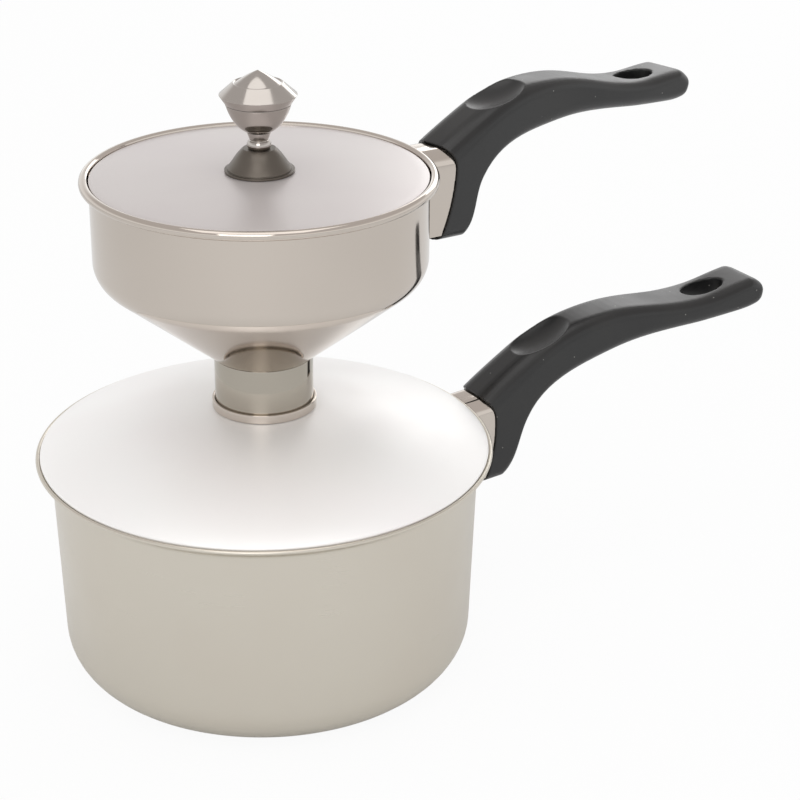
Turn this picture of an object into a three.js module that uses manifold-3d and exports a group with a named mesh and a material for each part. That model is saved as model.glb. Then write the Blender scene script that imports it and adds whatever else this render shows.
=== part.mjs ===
// A couscous steamer: a saucepan under a wide domed steam lid, and a funnel-bottomed steamer cup
// whose neck stands in the collar of that lid, closed by a small inset lid with a turned knob.
// Millimetres, Z up. The origin is the centre of the pan's base, and the pan's handle points along +X.

import * as THREE from 'three';
import { mergeVertices } from 'three/addons/utils/BufferGeometryUtils.js';
import Module from 'manifold-3d';

const wasm = await Module();
wasm.setup();

// Gaps between pieces
const SEAM_GAP = 0.1; // between pieces that are welded or screwed hard together
const SEAT_GAP = 0.3; // between pieces that only rest on each other, or are trimmed to fit
const SCREW_CLEARANCE = 0.25; // around a screw in its hole

// Saucepan
const PAN_HEIGHT = 89; // table to the crest of the rolled rim
const PAN_TAPER = degrees(1.9); // lean of the wall
const PAN_CORNER = 18; // outside radius between base and wall
const PAN_WALL = 0.9;
const PAN_BASE = 2;
const PAN_BEAD = 0.75; // section radius of the rolled rim
const PAN_FLARE = 4; // height of the flared mouth, below the middle of the rolled rim
const PAN_FLARE_REACH = 4.75; // middle of the rolled rim out past the wall

// Steam lid and its collar
const STEAM_LID_RADIUS = 85.4; // over the hem; the pan's mouth is made to it
const STEAM_LID_INSET = 1.75; // middle of the hem in from the middle of the pan's rolled rim
const STEAM_LID_SHEET = 0.8;
const STEAM_LID_HEM = 0.9; // section radius of the hem
const STEAM_LID_DOME = 217.6; // sphere radius of the dome
const COLLAR_HEIGHT = 3.4;
const COLLAR_WALL = 0.8;
const COLLAR_CLEARANCE = 0.4; // between the collar and the neck
const COLLAR_LAND = 0.8; // flat of the lid outside the collar
const NECK_LEDGE = 2; // how far the lid reaches in under the neck

// Steamer cup and neck
const STEAMER_TURN = degrees(12); // the steamer as it stands on the pan, turned about the vertical
const NECK_RADIUS = 18.6;
const NECK_WALL = 0.8;
const NECK_LENGTH = 20.5;
const FUNNEL_SLOPE = degrees(38.7); // above the horizontal
const CUP_RADIUS = 61.7;
const CUP_WALL = 0.8;
const CUP_CORNER = 10.5; // outside radius between funnel and wall
const CUP_SIDE = 29.5; // straight wall, from the corner to the middle of the rolled rim
const CUP_BEAD = 1.75; // section radius of the rolled rim
const CUP_FLARE = 4; // height of the flared mouth, below the middle of the rolled rim

// Perforated plate that holds the couscous, and its lifting loop
const GRID_RADIUS = 44;
const GRID_SHEET = 1;
const GRID_HOLE = 1.7; // hole radius
const GRID_RING_STEP = 9.5; // between the rings of holes
const GRID_RINGS = 4; // rings of holes about the middle
const HOLES_PER_RING_STEP = 6;
const LOOP_WIRE = 1; // wire radius
const LOOP_RADIUS = 6;
const LOOP_LEG = 5;

// Inset lid of the steamer
const TOP_LID_RADIUS = 61.6;
const TOP_LID_SHEET = 0.8;
const TOP_LID_DOME = 1330; // sphere radius of the dome

// Turned knob, from the lid upwards
const KNOB_FLANGE_RADIUS = 12.8;
const KNOB_FLANGE = 1.3;
const KNOB_FLANGE_STEP = 0.5; // height of the small step on the flange
const KNOB_SKIRT_RADIUS = 11.8; // foot of the bell
const KNOB_SKIRT_TOP_RADIUS = 6;
const KNOB_SKIRT_HEIGHT = 8.6;
const KNOB_SKIRT_FOOT_SLOPE = degrees(130);
const KNOB_SKIRT_TOP_SLOPE = degrees(140);
const KNOB_STEM_RADIUS = 4.45; // widest part of both beads
const KNOB_BEAD_EDGE = 4; // radius of the lower bead where it meets the skirt and the groove
const KNOB_BEAD_HEIGHT = 2.7;
const KNOB_GROOVE_RADIUS = 3.1;
const KNOB_GROOVE = 0.45;
const KNOB_FLARE_RADIUS = 3.4; // foot of the flared upper bead
const KNOB_STEM_HEIGHT = 6;
const KNOB_BOWL_RADIUS = 12;
const KNOB_BOWL_HEIGHT = 10.4;
const KNOB_BOWL_FOOT_SLOPE = degrees(25);
const KNOB_BOWL_TOP_SLOPE = degrees(72);
const KNOB_EDGE_RADIUS = 14.1; // widest edge of the cap
const KNOB_EDGE_HEIGHT = 3.1; // from the bowl to the widest edge
const KNOB_CROWN_RADIUS = 8.4; // foot of the small cone on the cap
const KNOB_SHOULDER_HEIGHT = 4.6; // from the widest edge to the small cone
const KNOB_CROWN_HEIGHT = 4.3;
const KNOB_CROWN_SLOPE = degrees(146);
const KNOB_TIP_SLOPE = degrees(158);
const KNOB_CROWN_GROOVE = 0.5; // depth of the groove at the foot of the small cone
const KNOB_SCREW_RADIUS = 2;
const KNOB_SCREW_GRIP = 5.5; // thread length inside the bowl
const KNOB_HEAD_RADIUS = 4;
const KNOB_HEAD = 2.4;
const KNOB_WASHER_RADIUS = 6;
const KNOB_WASHER = 1;

// Long handles, alike on both vessels but for the foot; X runs out from the lip, Z up from below it
const PAN_HANDLE_REACH = 14.8; // wall to the lip of the handle
const PAN_HANDLE_DROP = 0.5; // crest of the rim down to the handle's origin
const PAN_HANDLE_TILT = degrees(3.6); // tip up
const PAN_FOOT_REACH = 5.8; // outer end of the foot's underside
const STEAMER_HANDLE_REACH = 27;
const STEAMER_HANDLE_DROP = 8.7;
const STEAMER_HANDLE_TILT = degrees(-4.7);
const STEAMER_FOOT_REACH = 10.3;
const HANDLE_LENGTH = 141.4;
const HANDLE_LIP_WIDTH = 22;
const HANDLE_WAIST_WIDTH = 20.4;
const HANDLE_TIP_WIDTH = 24;
const HANDLE_TIP_CORNER = 4; // in plan
const HANDLE_LIP_EDGE = 7.5; // rounding of the upper edges near the lip
const HANDLE_GRIP_EDGE = 3; // rounding of the upper edges along the grip
const HANDLE_LOWER_EDGE = 4.5; // rounding of the lower edges
const EDGE_SHARE = 0.8; // the most of a section's half height that its rounding takes
const LIP_RISE = 1.3; // lip above the handle's origin
const LIP_SLOPE = degrees(32); // of the top at the lip
const SHOULDER_REACH = 21.5;
const SHOULDER_RISE = 14.2;
const SHOULDER_SLOPE = degrees(26.5);
const CREST_REACH = 61.2;
const CREST_RISE = 22;
const CREST_THICKNESS = 17.6;
const CREST_UNDER_SLOPE = degrees(9);
const WAIST_REACH = 107;
const WAIST_RISE = 16.3;
const WAIST_THICKNESS = 10.8;
const WAIST_SLOPE = degrees(-2);
const TIP_RISE = 18.3;
const TIP_THICKNESS = 13;
const TIP_SLOPE = degrees(3);
const NOSE_TOP_SLOPE = degrees(-15);
const NOSE_UNDER_SLOPE = degrees(80);
const TIP_NOSE = 6; // how far the round nose stands past the top edge
const TIP_KEEL = 16.5; // how far the nose runs back along the underside
const NOSE_FLAT = 1.5; // height of the flat at the very end
const LEG_REACH = 17.4; // outer face of the leg below the grip
const LEG_DROP = 15.5;
const LEG_SLOPE = degrees(61);
const FOOT_SLOPE = degrees(30); // of the rounding above the foot
const FOOT_DROP = 36;
const LIP_ARC = 13; // upper curve of the handle's hollow end, seen from the side
const FOOT_ARC = 60; // lower curve of that end
const LIP_MIDDLE = 8.7; // where the two curves meet, below the handle's origin
const LIP_HOLLOW = 2.5; // how far out they meet
const LIP_OVERRUN = 8; // handle drawn this far past the lip before the hollow is cut
const SLOT_REACH = 115.5; // middle of the hanging slot
const SLOT_LENGTH = 21;
const SLOT_WIDTH = 12;
const SCOOP_REACH = 31; // middle of the thumb scoop
const SCOOP_LENGTH = 31;
const SCOOP_WIDTH = 22;
const SCOOP_DEPTH = 4.2;

// Steel bracket that carries a handle, with its screw
const BRACKET_SET_BACK = 0.8; // bracket inside the outline of the handle's end
const BRACKET_FOOT = 2.5; // bracket's lower edge above the foot of the handle
const BRACKET_SHEET = 1.2;
const BRACKET_ROUND = 7; // upper edges
const HANDLE_SCREW_RADIUS = 2.5;
const HANDLE_SCREW_HEAD_RADIUS = 4.3;
const HANDLE_SCREW_HEAD = 2.6;
const HANDLE_SCREW_SEAT = 6.5; // handle between the bracket and the screw's washer
const HANDLE_WASHER_RADIUS = 5;
const HANDLE_WASHER = 1;
const NUT_RADIUS = 4.6; // across corners
const NUT_HEIGHT = 4;
const NUT_SIDES = 6;

// Fineness
const VESSEL_STEPS = 40; // facets round a vessel
const KNOB_STEPS = 20; // facets round the knob
const ROD_STEPS = 14; // facets round screws, washers and their holes
const ARC_STEPS = 4; // facets in an arc or a short curve
const BEAD_STEPS = 6; // facets round a rolled rim
const HANDLE_STEPS = 4; // stations in each curve of the handle's outline
const CORNER_STEPS = 3; // facets in a corner of the handle's section
const WIRE_STEPS = 3; // facets in half the wire's section
const SLOT_STEPS = 10; // facets in half the hanging slot
const HOLE_STEPS = 6; // facets round a hole of the plate
const CURVE_TENSION = 0.36; // length of a curve's tangents, as a share of its span
const WELD_DISTANCE = 1e-5; // vertices this close are one

// Finishes
const SATIN_STEEL = { color: 0xb9b3aa, roughness: 0.38, metalness: 1 };
const BRIGHT_STEEL = { color: 0xc4bfb8, roughness: 0.12, metalness: 1 };
const LID_STEEL = { color: 0xd8d5d2, roughness: 0.22, metalness: 1 };
const KNOB_STEEL = { color: 0x9b938c, roughness: 0.25, metalness: 1 };
const SKIRT_STEEL = { color: 0x6e665e, roughness: 0.4, metalness: 1 };
const PHENOLIC = { color: 0x2a2b2c, roughness: 0.45, metalness: 0 };
const ZINC = { color: 0xa9abad, roughness: 0.35, metalness: 1 };

// Heights and places that follow from the sizes
const hemRadius = STEAM_LID_RADIUS - STEAM_LID_HEM;
const panBeadHeight = PAN_HEIGHT - PAN_BEAD;
const panBeadRadius = hemRadius + STEAM_LID_INSET;
const panRimRadius = panBeadRadius - PAN_FLARE_REACH; // outside of the wall, carried up to the rim
const panCornerCentre =
  panRimRadius -
  (panBeadHeight - PAN_CORNER * (1 - Math.sin(PAN_TAPER))) * Math.tan(PAN_TAPER) -
  PAN_CORNER * Math.cos(PAN_TAPER);
const panFlareFoot = panBeadHeight - PAN_FLARE;
const panMouth = panRimRadius - PAN_FLARE * Math.tan(PAN_TAPER) - PAN_WALL / Math.cos(PAN_TAPER);
const panFlareSlope = Math.atan2(
  PAN_FLARE + PAN_BEAD * Math.SQRT1_2,
  panBeadRadius - PAN_BEAD * Math.SQRT1_2 - panMouth
);
const hemTouch = (STEAM_LID_HEM + SEAT_GAP) / Math.cos(panFlareSlope);
const hemHeight = panFlareFoot + (hemRadius - panMouth) * Math.tan(panFlareSlope) + hemTouch;
const domeCentre = hemHeight + STEAM_LID_HEM - Math.sqrt(STEAM_LID_DOME ** 2 - hemRadius ** 2);
const collarInside = NECK_RADIUS + COLLAR_CLEARANCE;
const landRadius = collarInside + COLLAR_WALL + COLLAR_LAND;
const landHeight = domeCentre + Math.sqrt(STEAM_LID_DOME ** 2 - landRadius ** 2);
const neckFoot = landHeight + SEAT_GAP;
const funnelFoot = neckFoot + NECK_LENGTH;
const cupCornerCentre = CUP_RADIUS - CUP_CORNER;
const funnelTopRadius = cupCornerCentre + CUP_CORNER * Math.sin(FUNNEL_SLOPE);
const funnelRise = (funnelTopRadius - NECK_RADIUS) * Math.tan(FUNNEL_SLOPE);
const cupCornerHeight = funnelFoot + funnelRise + CUP_CORNER * Math.cos(FUNNEL_SLOPE);
const cupBeadHeight = cupCornerHeight + CUP_SIDE;
const cupBeadRadius = CUP_RADIUS + CUP_BEAD;
const funnelInside = NECK_RADIUS - CUP_WALL / Math.sin(FUNNEL_SLOPE);
const gridHeight =
  funnelFoot + (GRID_RADIUS + SEAT_GAP / Math.sin(FUNNEL_SLOPE) - funnelInside) * Math.tan(FUNNEL_SLOPE);
const mouthTopRadius = cupBeadRadius - CUP_BEAD * Math.SQRT1_2;
const mouthTopHeight = cupBeadHeight + CUP_BEAD * Math.SQRT1_2;
const mouthFootHeight = cupBeadHeight - CUP_FLARE;
const mouthLean = (mouthTopHeight - mouthFootHeight) / (mouthTopRadius - (CUP_RADIUS - CUP_WALL));
const topLidEdge = mouthFootHeight + (TOP_LID_RADIUS + SEAT_GAP - (CUP_RADIUS - CUP_WALL)) * mouthLean;
const topDomeCentre = topLidEdge + TOP_LID_SHEET - Math.sqrt(TOP_LID_DOME ** 2 - TOP_LID_RADIUS ** 2);
const knobFoot = topDomeCentre + TOP_LID_DOME + SEAM_GAP;
const skirtTop = knobFoot + KNOB_SKIRT_HEIGHT;
const stemFoot = skirtTop + SEAM_GAP;
const bowlFoot = stemFoot + KNOB_STEM_HEIGHT + SEAM_GAP;
const capFoot = bowlFoot + KNOB_BOWL_HEIGHT + SEAM_GAP;
const knobBore = KNOB_SCREW_RADIUS + SCREW_CLEARANCE;
const lipEdgeX = LIP_HOLLOW - LIP_ARC + Math.sqrt(LIP_ARC ** 2 - (LIP_RISE + LIP_MIDDLE) ** 2);
const screwHeight = -FOOT_DROP / 2;
const nutWall = FOOT_ARC - SEAT_GAP - BRACKET_SHEET;
const nutDrop = NUT_RADIUS - screwHeight - LIP_MIDDLE;
const nutFace = LIP_HOLLOW - FOOT_ARC + Math.sqrt(nutWall ** 2 - nutDrop ** 2) - SEAT_GAP;
const handleBore = HANDLE_SCREW_RADIUS + SCREW_CLEARANCE;

function degrees(angle) {
  return (angle * Math.PI) / 180;
}

// Solids

// A closed solid from a geometry, with its doubled vertices joined.
function solidOf(geometry) {
  const bare = new THREE.BufferGeometry();
  bare.setAttribute('position', geometry.getAttribute('position'));
  bare.setIndex(geometry.getIndex());
  const merged = mergeVertices(bare, WELD_DISTANCE);
  const index = merged.getIndex().array;
  const triangles = [];
  for (let i = 0; i < index.length; i += 3) {
    const [a, b, c] = index.slice(i, i + 3);
    if (a !== b && b !== c && c !== a) triangles.push(a, b, c);
  }
  const vertProperties = new Float32Array(merged.getAttribute('position').array);
  const triVerts = new Uint32Array(triangles);
  return new wasm.Manifold(new wasm.Mesh({ numProp: 3, vertProperties, triVerts }));
}

function geometryOf(solid) {
  const { vertProperties, triVerts } = solid.getMesh();
  const geometry = new THREE.BufferGeometry();
  geometry.setAttribute('position', new THREE.BufferAttribute(vertProperties, 3));
  geometry.setIndex(new THREE.BufferAttribute(triVerts, 1));
  geometry.computeVertexNormals();
  return geometry;
}

function piece(name, solid, finish) {
  const mesh = new THREE.Mesh(geometryOf(solid), new THREE.MeshStandardMaterial(finish));
  mesh.name = name;
  return mesh;
}

function point(x, y) {
  return new THREE.Vector2(x, y);
}

// Points along an arc, the long way round only if the angles say so.
function arc(x, y, radius, from, to, steps = ARC_STEPS) {
  return Array.from({ length: steps + 1 }, (_, i) => {
    const angle = from + ((to - from) * i) / steps;
    return point(x + radius * Math.cos(angle), y + radius * Math.sin(angle));
  });
}

// Adds a curve that leaves the path's last point and reaches the next one in the given directions.
function curveTo(path, leaving, x, y, reaching) {
  const from = path.currentPoint;
  const tangent = CURVE_TENSION * Math.hypot(x - from.x, y - from.y);
  path.bezierCurveTo(
    from.x + tangent * Math.cos(leaving),
    from.y + tangent * Math.sin(leaving),
    x - tangent * Math.cos(reaching),
    y - tangent * Math.sin(reaching),
    x,
    y
  );
}

// Points of one such curve.
function curve(start, leaving, end, reaching) {
  const path = new THREE.Path();
  path.moveTo(start.x, start.y);
  curveTo(path, leaving, end.x, end.y, reaching);
  return path.getPoints(ARC_STEPS);
}

// A profile of radius and height, counter-clockwise, turned about the vertical axis.
function turned(profile, steps) {
  const onAxis = profile[0].x === 0;
  const loop = onAxis ? profile : [...profile, profile[0].clone()];
  return solidOf(new THREE.LatheGeometry(loop, steps).rotateX(Math.PI / 2));
}

function ring(inside, outside, bottom, height, steps) {
  const top = bottom + height;
  const profile = [point(inside, bottom), point(outside, bottom), point(outside, top), point(inside, top)];
  return turned(profile, steps);
}

// A round rod, washer blank or hole, along X from one place to another.
function rodAlongX(radius, from, to, height, steps = ROD_STEPS) {
  const rod = new THREE.CylinderGeometry(radius, radius, to - from, steps);
  return solidOf(rod.rotateZ(Math.PI / 2).translate((from + to) / 2, 0, height));
}

// Saucepan

// The pan's corner and wall from below, moved out by an offset.
function panSide(offset, top) {
  const lean = (panBeadHeight - top) * Math.tan(PAN_TAPER);
  const corner = arc(panCornerCentre, PAN_CORNER, PAN_CORNER + offset, -Math.PI / 2, -PAN_TAPER);
  return [...corner, point(panRimRadius - lean + offset / Math.cos(PAN_TAPER), top)];
}

function panBody() {
  const inside = panSide(-PAN_WALL, panFlareFoot);
  inside[0].y = PAN_BASE;
  const profile = [
    point(0, 0),
    ...panSide(0, panFlareFoot),
    ...arc(panBeadRadius, panBeadHeight, PAN_BEAD, (-3 * Math.PI) / 4, (3 * Math.PI) / 4, BEAD_STEPS),
    ...inside.reverse(),
    point(0, PAN_BASE),
  ];
  return turned(profile, VESSEL_STEPS);
}

// Room that a rim takes, as the end of a vessel's space.
function rimSpace(radius, bottom, top) {
  return [point(radius, bottom), point(radius, top), point(0, top)];
}

// Solid space of the pan and of the hem on its rim, a little larger than them, that trims its bracket.
function panSpace() {
  const hemTop = hemHeight + STEAM_LID_HEM + SEAT_GAP;
  const side = panSide(SEAT_GAP, panFlareFoot - PAN_BEAD);
  const rim = rimSpace(panBeadRadius + PAN_BEAD + SEAT_GAP, panBeadHeight - PAN_BEAD, hemTop);
  return turned([point(0, -SEAT_GAP), ...side, ...rim], VESSEL_STEPS);
}

// Steam lid

function steamLid() {
  const hole = NECK_RADIUS - NECK_LEDGE;
  const under = STEAM_LID_DOME - STEAM_LID_SHEET;
  const rim = Math.acos(hemRadius / STEAM_LID_DOME);
  const land = Math.acos(landRadius / STEAM_LID_DOME);
  const hem = Math.acos((hemRadius - STEAM_LID_HEM) / under);
  const profile = [
    point(hole, landHeight - STEAM_LID_SHEET),
    ...arc(0, domeCentre, under, land, hem),
    ...arc(hemRadius, hemHeight, STEAM_LID_HEM, -Math.PI, Math.PI / 2, BEAD_STEPS),
    ...arc(0, domeCentre, STEAM_LID_DOME, rim, land).slice(1),
    point(hole, landHeight),
  ];
  return turned(profile, VESSEL_STEPS);
}

function steamCollar() {
  const outside = collarInside + COLLAR_WALL;
  return ring(collarInside, outside, landHeight + SEAM_GAP, COLLAR_HEIGHT, VESSEL_STEPS);
}

// Steamer cup

// The funnel, corner and wall from below, moved out by an offset.
function cupSide(offset, top) {
  const foot = NECK_RADIUS + offset / Math.sin(FUNNEL_SLOPE);
  const turn = FUNNEL_SLOPE - Math.PI / 2;
  return [
    point(foot, funnelFoot),
    ...arc(cupCornerCentre, cupCornerHeight, CUP_CORNER + offset, turn, 0),
    point(CUP_RADIUS + offset, top),
  ];
}

function steamerCup() {
  const profile = [
    ...cupSide(0, cupBeadHeight),
    ...arc(cupBeadRadius, cupBeadHeight, CUP_BEAD, -Math.PI, (3 * Math.PI) / 4, BEAD_STEPS).slice(1),
    ...cupSide(-CUP_WALL, mouthFootHeight).reverse(),
  ];
  return turned(profile, VESSEL_STEPS);
}

function cupSpace() {
  const room = CUP_BEAD + SEAT_GAP;
  const side = cupSide(SEAT_GAP, cupBeadHeight - room);
  const rim = rimSpace(cupBeadRadius + room, cupBeadHeight - room, cupBeadHeight + room);
  return turned([point(0, funnelFoot), ...side, ...rim], VESSEL_STEPS);
}

function steamerNeck() {
  return ring(NECK_RADIUS - NECK_WALL, NECK_RADIUS, neckFoot, NECK_LENGTH - SEAM_GAP, VESSEL_STEPS);
}

// Perforated plate

function steamerGrid() {
  const outline = new THREE.Shape(arc(0, 0, GRID_RADIUS, 0, 2 * Math.PI, VESSEL_STEPS).slice(1));
  for (let step = 1; step <= GRID_RINGS; step += 1) {
    const count = HOLES_PER_RING_STEP * step;
    for (let i = 0; i < count; i += 1) {
      const angle = (2 * Math.PI * i) / count;
      const x = GRID_RING_STEP * step * Math.cos(angle);
      const y = GRID_RING_STEP * step * Math.sin(angle);
      outline.holes.push(new THREE.Path(arc(x, y, GRID_HOLE, 0, -2 * Math.PI, HOLE_STEPS).slice(1)));
    }
  }
  const plate = new THREE.ExtrudeGeometry(outline, { depth: GRID_SHEET, bevelEnabled: false });
  return solidOf(plate.translate(0, 0, gridHeight));
}

// A bent wire that stands on the plate inside its first ring of holes.
function gridLoop() {
  const foot = gridHeight + GRID_SHEET + SEAM_GAP;
  const bend = arc(0, foot + LOOP_LEG, LOOP_RADIUS, Math.PI, 0, 2 * ARC_STEPS);
  const bends = [point(-LOOP_RADIUS, foot), ...bend, point(LOOP_RADIUS, foot)];
  const route = bends.map((place) => new THREE.Vector3(0, place.x, place.y));
  const sections = route.map((place, i) => {
    const before = route[Math.max(i - 1, 0)];
    const after = route[Math.min(i + 1, route.length - 1)];
    const along = after.clone().sub(before).normalize();
    const across = new THREE.Vector3(1, 0, 0);
    const outward = along.clone().cross(across);
    return arc(0, 0, LOOP_WIRE, 0, 2 * Math.PI, 2 * WIRE_STEPS)
      .slice(1)
      .map((spot) => place.clone().addScaledVector(across, spot.x).addScaledVector(outward, spot.y));
  });
  return loft(sections);
}

// Inset lid and knob

function topLid() {
  const under = TOP_LID_DOME - TOP_LID_SHEET;
  const edge = Math.acos(TOP_LID_RADIUS / TOP_LID_DOME);
  const hole = Math.acos(knobBore / TOP_LID_DOME);
  const profile = [
    ...arc(0, topDomeCentre, under, hole, edge),
    ...arc(0, topDomeCentre, TOP_LID_DOME, edge, hole),
  ];
  return turned(profile, VESSEL_STEPS);
}

function knobBase() {
  const flangeTop = knobFoot + KNOB_FLANGE;
  const skirtFoot = point(KNOB_SKIRT_RADIUS, flangeTop);
  const skirtEnd = point(KNOB_SKIRT_TOP_RADIUS, skirtTop);
  const profile = [
    point(knobBore, knobFoot),
    point(KNOB_FLANGE_RADIUS, knobFoot),
    point(KNOB_FLANGE_RADIUS, flangeTop - KNOB_FLANGE_STEP),
    point(KNOB_SKIRT_RADIUS, flangeTop - KNOB_FLANGE_STEP),
    ...curve(skirtFoot, KNOB_SKIRT_FOOT_SLOPE, skirtEnd, KNOB_SKIRT_TOP_SLOPE),
    point(knobBore, skirtTop),
  ];
  return turned(profile, KNOB_STEPS);
}

// A barrel-shaped lower bead, a groove and a flared upper bead.
function knobStem() {
  const beadTop = stemFoot + KNOB_BEAD_HEIGHT;
  const flareFoot = beadTop + KNOB_GROOVE;
  const top = stemFoot + KNOB_STEM_HEIGHT;
  const bulge = KNOB_STEM_RADIUS - KNOB_BEAD_EDGE;
  const barrel = arc(0, 0, 1, -Math.PI / 2, Math.PI / 2).map((spot) =>
    point(KNOB_BEAD_EDGE + bulge * spot.x, stemFoot + (KNOB_BEAD_HEIGHT / 2) * (1 + spot.y))
  );
  const profile = [
    point(knobBore, stemFoot),
    ...barrel,
    point(KNOB_GROOVE_RADIUS, beadTop),
    point(KNOB_GROOVE_RADIUS, flareFoot),
    point(KNOB_FLARE_RADIUS, flareFoot),
    point(KNOB_STEM_RADIUS, top),
    point(knobBore, top),
  ];
  return turned(profile, KNOB_STEPS);
}

function knobBowl() {
  const threadTop = bowlFoot + KNOB_SCREW_GRIP + SEAT_GAP;
  const bowlTop = bowlFoot + KNOB_BOWL_HEIGHT;
  const foot = point(KNOB_STEM_RADIUS, bowlFoot);
  const brim = point(KNOB_BOWL_RADIUS, bowlTop);
  const profile = [
    point(0, threadTop),
    point(knobBore, threadTop),
    point(knobBore, bowlFoot),
    ...curve(foot, KNOB_BOWL_FOOT_SLOPE, brim, KNOB_BOWL_TOP_SLOPE),
    point(0, bowlTop),
  ];
  return turned(profile, KNOB_STEPS);
}

function knobCap() {
  const edge = capFoot + KNOB_EDGE_HEIGHT;
  const crown = edge + KNOB_SHOULDER_HEIGHT;
  const crownFoot = point(KNOB_CROWN_RADIUS, crown - KNOB_CROWN_GROOVE);
  const profile = [
    point(0, capFoot),
    point(KNOB_BOWL_RADIUS, capFoot),
    point(KNOB_EDGE_RADIUS, edge),
    point(KNOB_CROWN_RADIUS + KNOB_CROWN_GROOVE, crown),
    ...curve(crownFoot, KNOB_CROWN_SLOPE, point(0, crown + KNOB_CROWN_HEIGHT), KNOB_TIP_SLOPE),
  ];
  profile.at(-1).x = 0;
  return turned(profile, KNOB_STEPS);
}

// Height of the washer's upper face, under the lid.
function knobScrewSeat() {
  const washerEdge = Math.sqrt((TOP_LID_DOME - TOP_LID_SHEET) ** 2 - KNOB_WASHER_RADIUS ** 2);
  return topDomeCentre + washerEdge - SEAM_GAP;
}

function knobWasher() {
  return ring(knobBore, KNOB_WASHER_RADIUS, knobScrewSeat() - KNOB_WASHER, KNOB_WASHER, KNOB_STEPS);
}

function knobScrew() {
  const shoulder = knobScrewSeat() - KNOB_WASHER - SEAM_GAP;
  const headFoot = shoulder - KNOB_HEAD;
  const profile = [
    point(0, headFoot),
    ...curve(point(KNOB_SCREW_RADIUS, headFoot), 0, point(KNOB_HEAD_RADIUS, shoulder), Math.PI / 2),
    point(KNOB_SCREW_RADIUS, shoulder),
    point(KNOB_SCREW_RADIUS, bowlFoot + KNOB_SCREW_GRIP),
    point(0, bowlFoot + KNOB_SCREW_GRIP),
  ];
  return turned(profile, KNOB_STEPS);
}

// Handles

// The top of the handle seen from the side, from inside the bracket out to the nose.
function handleTop() {
  const top = new THREE.Path();
  const overrun = point(Math.cos(LIP_SLOPE), Math.sin(LIP_SLOPE)).multiplyScalar(LIP_OVERRUN);
  top.moveTo(lipEdgeX - overrun.x, LIP_RISE - overrun.y);
  top.lineTo(lipEdgeX, LIP_RISE);
  curveTo(top, LIP_SLOPE, SHOULDER_REACH, SHOULDER_RISE, SHOULDER_SLOPE);
  curveTo(top, SHOULDER_SLOPE, CREST_REACH, CREST_RISE, 0);
  curveTo(top, 0, WAIST_REACH, WAIST_RISE, WAIST_SLOPE);
  curveTo(top, WAIST_SLOPE, HANDLE_LENGTH - TIP_NOSE, TIP_RISE, TIP_SLOPE);
  curveTo(top, NOSE_TOP_SLOPE, HANDLE_LENGTH, TIP_RISE - TIP_NOSE, -Math.PI / 2);
  return top;
}

// The underside, curve for curve under the top: foot, leg, grip and nose.
function handleUnderside(footReach) {
  const under = new THREE.Path();
  under.moveTo(lipEdgeX - LIP_OVERRUN, -FOOT_DROP);
  under.lineTo(footReach, -FOOT_DROP);
  curveTo(under, FOOT_SLOPE, LEG_REACH, -LEG_DROP, LEG_SLOPE);
  curveTo(under, LEG_SLOPE, CREST_REACH, CREST_RISE - CREST_THICKNESS, CREST_UNDER_SLOPE);
  curveTo(under, CREST_UNDER_SLOPE, WAIST_REACH, WAIST_RISE - WAIST_THICKNESS, WAIST_SLOPE);
  curveTo(under, WAIST_SLOPE, HANDLE_LENGTH - TIP_KEEL, TIP_RISE - TIP_THICKNESS, 0);
  curveTo(under, 0, HANDLE_LENGTH, TIP_RISE - TIP_NOSE - NOSE_FLAT, NOSE_UNDER_SLOPE);
  return under;
}

// Half the width of the handle at a place along it: a slim waist, a wider tip with round corners.
function handleHalfWidth(x) {
  const corner = Math.max(0, x - HANDLE_LENGTH + HANDLE_TIP_CORNER);
  const cut = HANDLE_TIP_CORNER - Math.sqrt(HANDLE_TIP_CORNER ** 2 - corner ** 2);
  const towardTip = THREE.MathUtils.smoothstep(x, CREST_REACH, SLOT_REACH);
  const towardLip = 1 - THREE.MathUtils.smoothstep(x, 0, CREST_REACH);
  const wider = (HANDLE_TIP_WIDTH - HANDLE_WAIST_WIDTH) * towardTip;
  const lip = (HANDLE_LIP_WIDTH - HANDLE_WAIST_WIDTH) * towardLip;
  return (HANDLE_WAIST_WIDTH + wider + lip) / 2 - cut;
}

// One section of the handle, a rounded oblong standing between a top and a lower point.
function handleSection(high, low) {
  const height = high.distanceTo(low) / 2;
  const x = (high.x + low.x) / 2;
  const z = (high.y + low.y) / 2;
  const width = handleHalfWidth(Math.min(x, HANDLE_LENGTH - SEAT_GAP));
  const towardGrip = THREE.MathUtils.smoothstep(high.x, SHOULDER_REACH, CREST_REACH);
  const upperEdge = THREE.MathUtils.lerp(HANDLE_LIP_EDGE, HANDLE_GRIP_EDGE, towardGrip);
  const ux = (high.x - low.x) / 2 / height;
  const uz = (high.y - low.y) / 2 / height;
  const points = [];
  for (let corner = 0; corner < 4; corner += 1) {
    const side = corner === 0 || corner === 3 ? 1 : -1;
    const end = corner < 2 ? 1 : -1;
    const wanted = end > 0 ? upperEdge : HANDLE_LOWER_EDGE;
    const edge = Math.min(wanted, EDGE_SHARE * height, EDGE_SHARE * width);
    for (let i = 0; i <= CORNER_STEPS; i += 1) {
      const angle = (Math.PI / 2) * (corner + i / CORNER_STEPS);
      const across = side * (width - edge) + edge * Math.cos(angle);
      const up = end * (height - edge) + edge * Math.sin(angle);
      points.push(new THREE.Vector3(x + ux * up, across, z + uz * up));
    }
  }
  return points;
}

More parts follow.
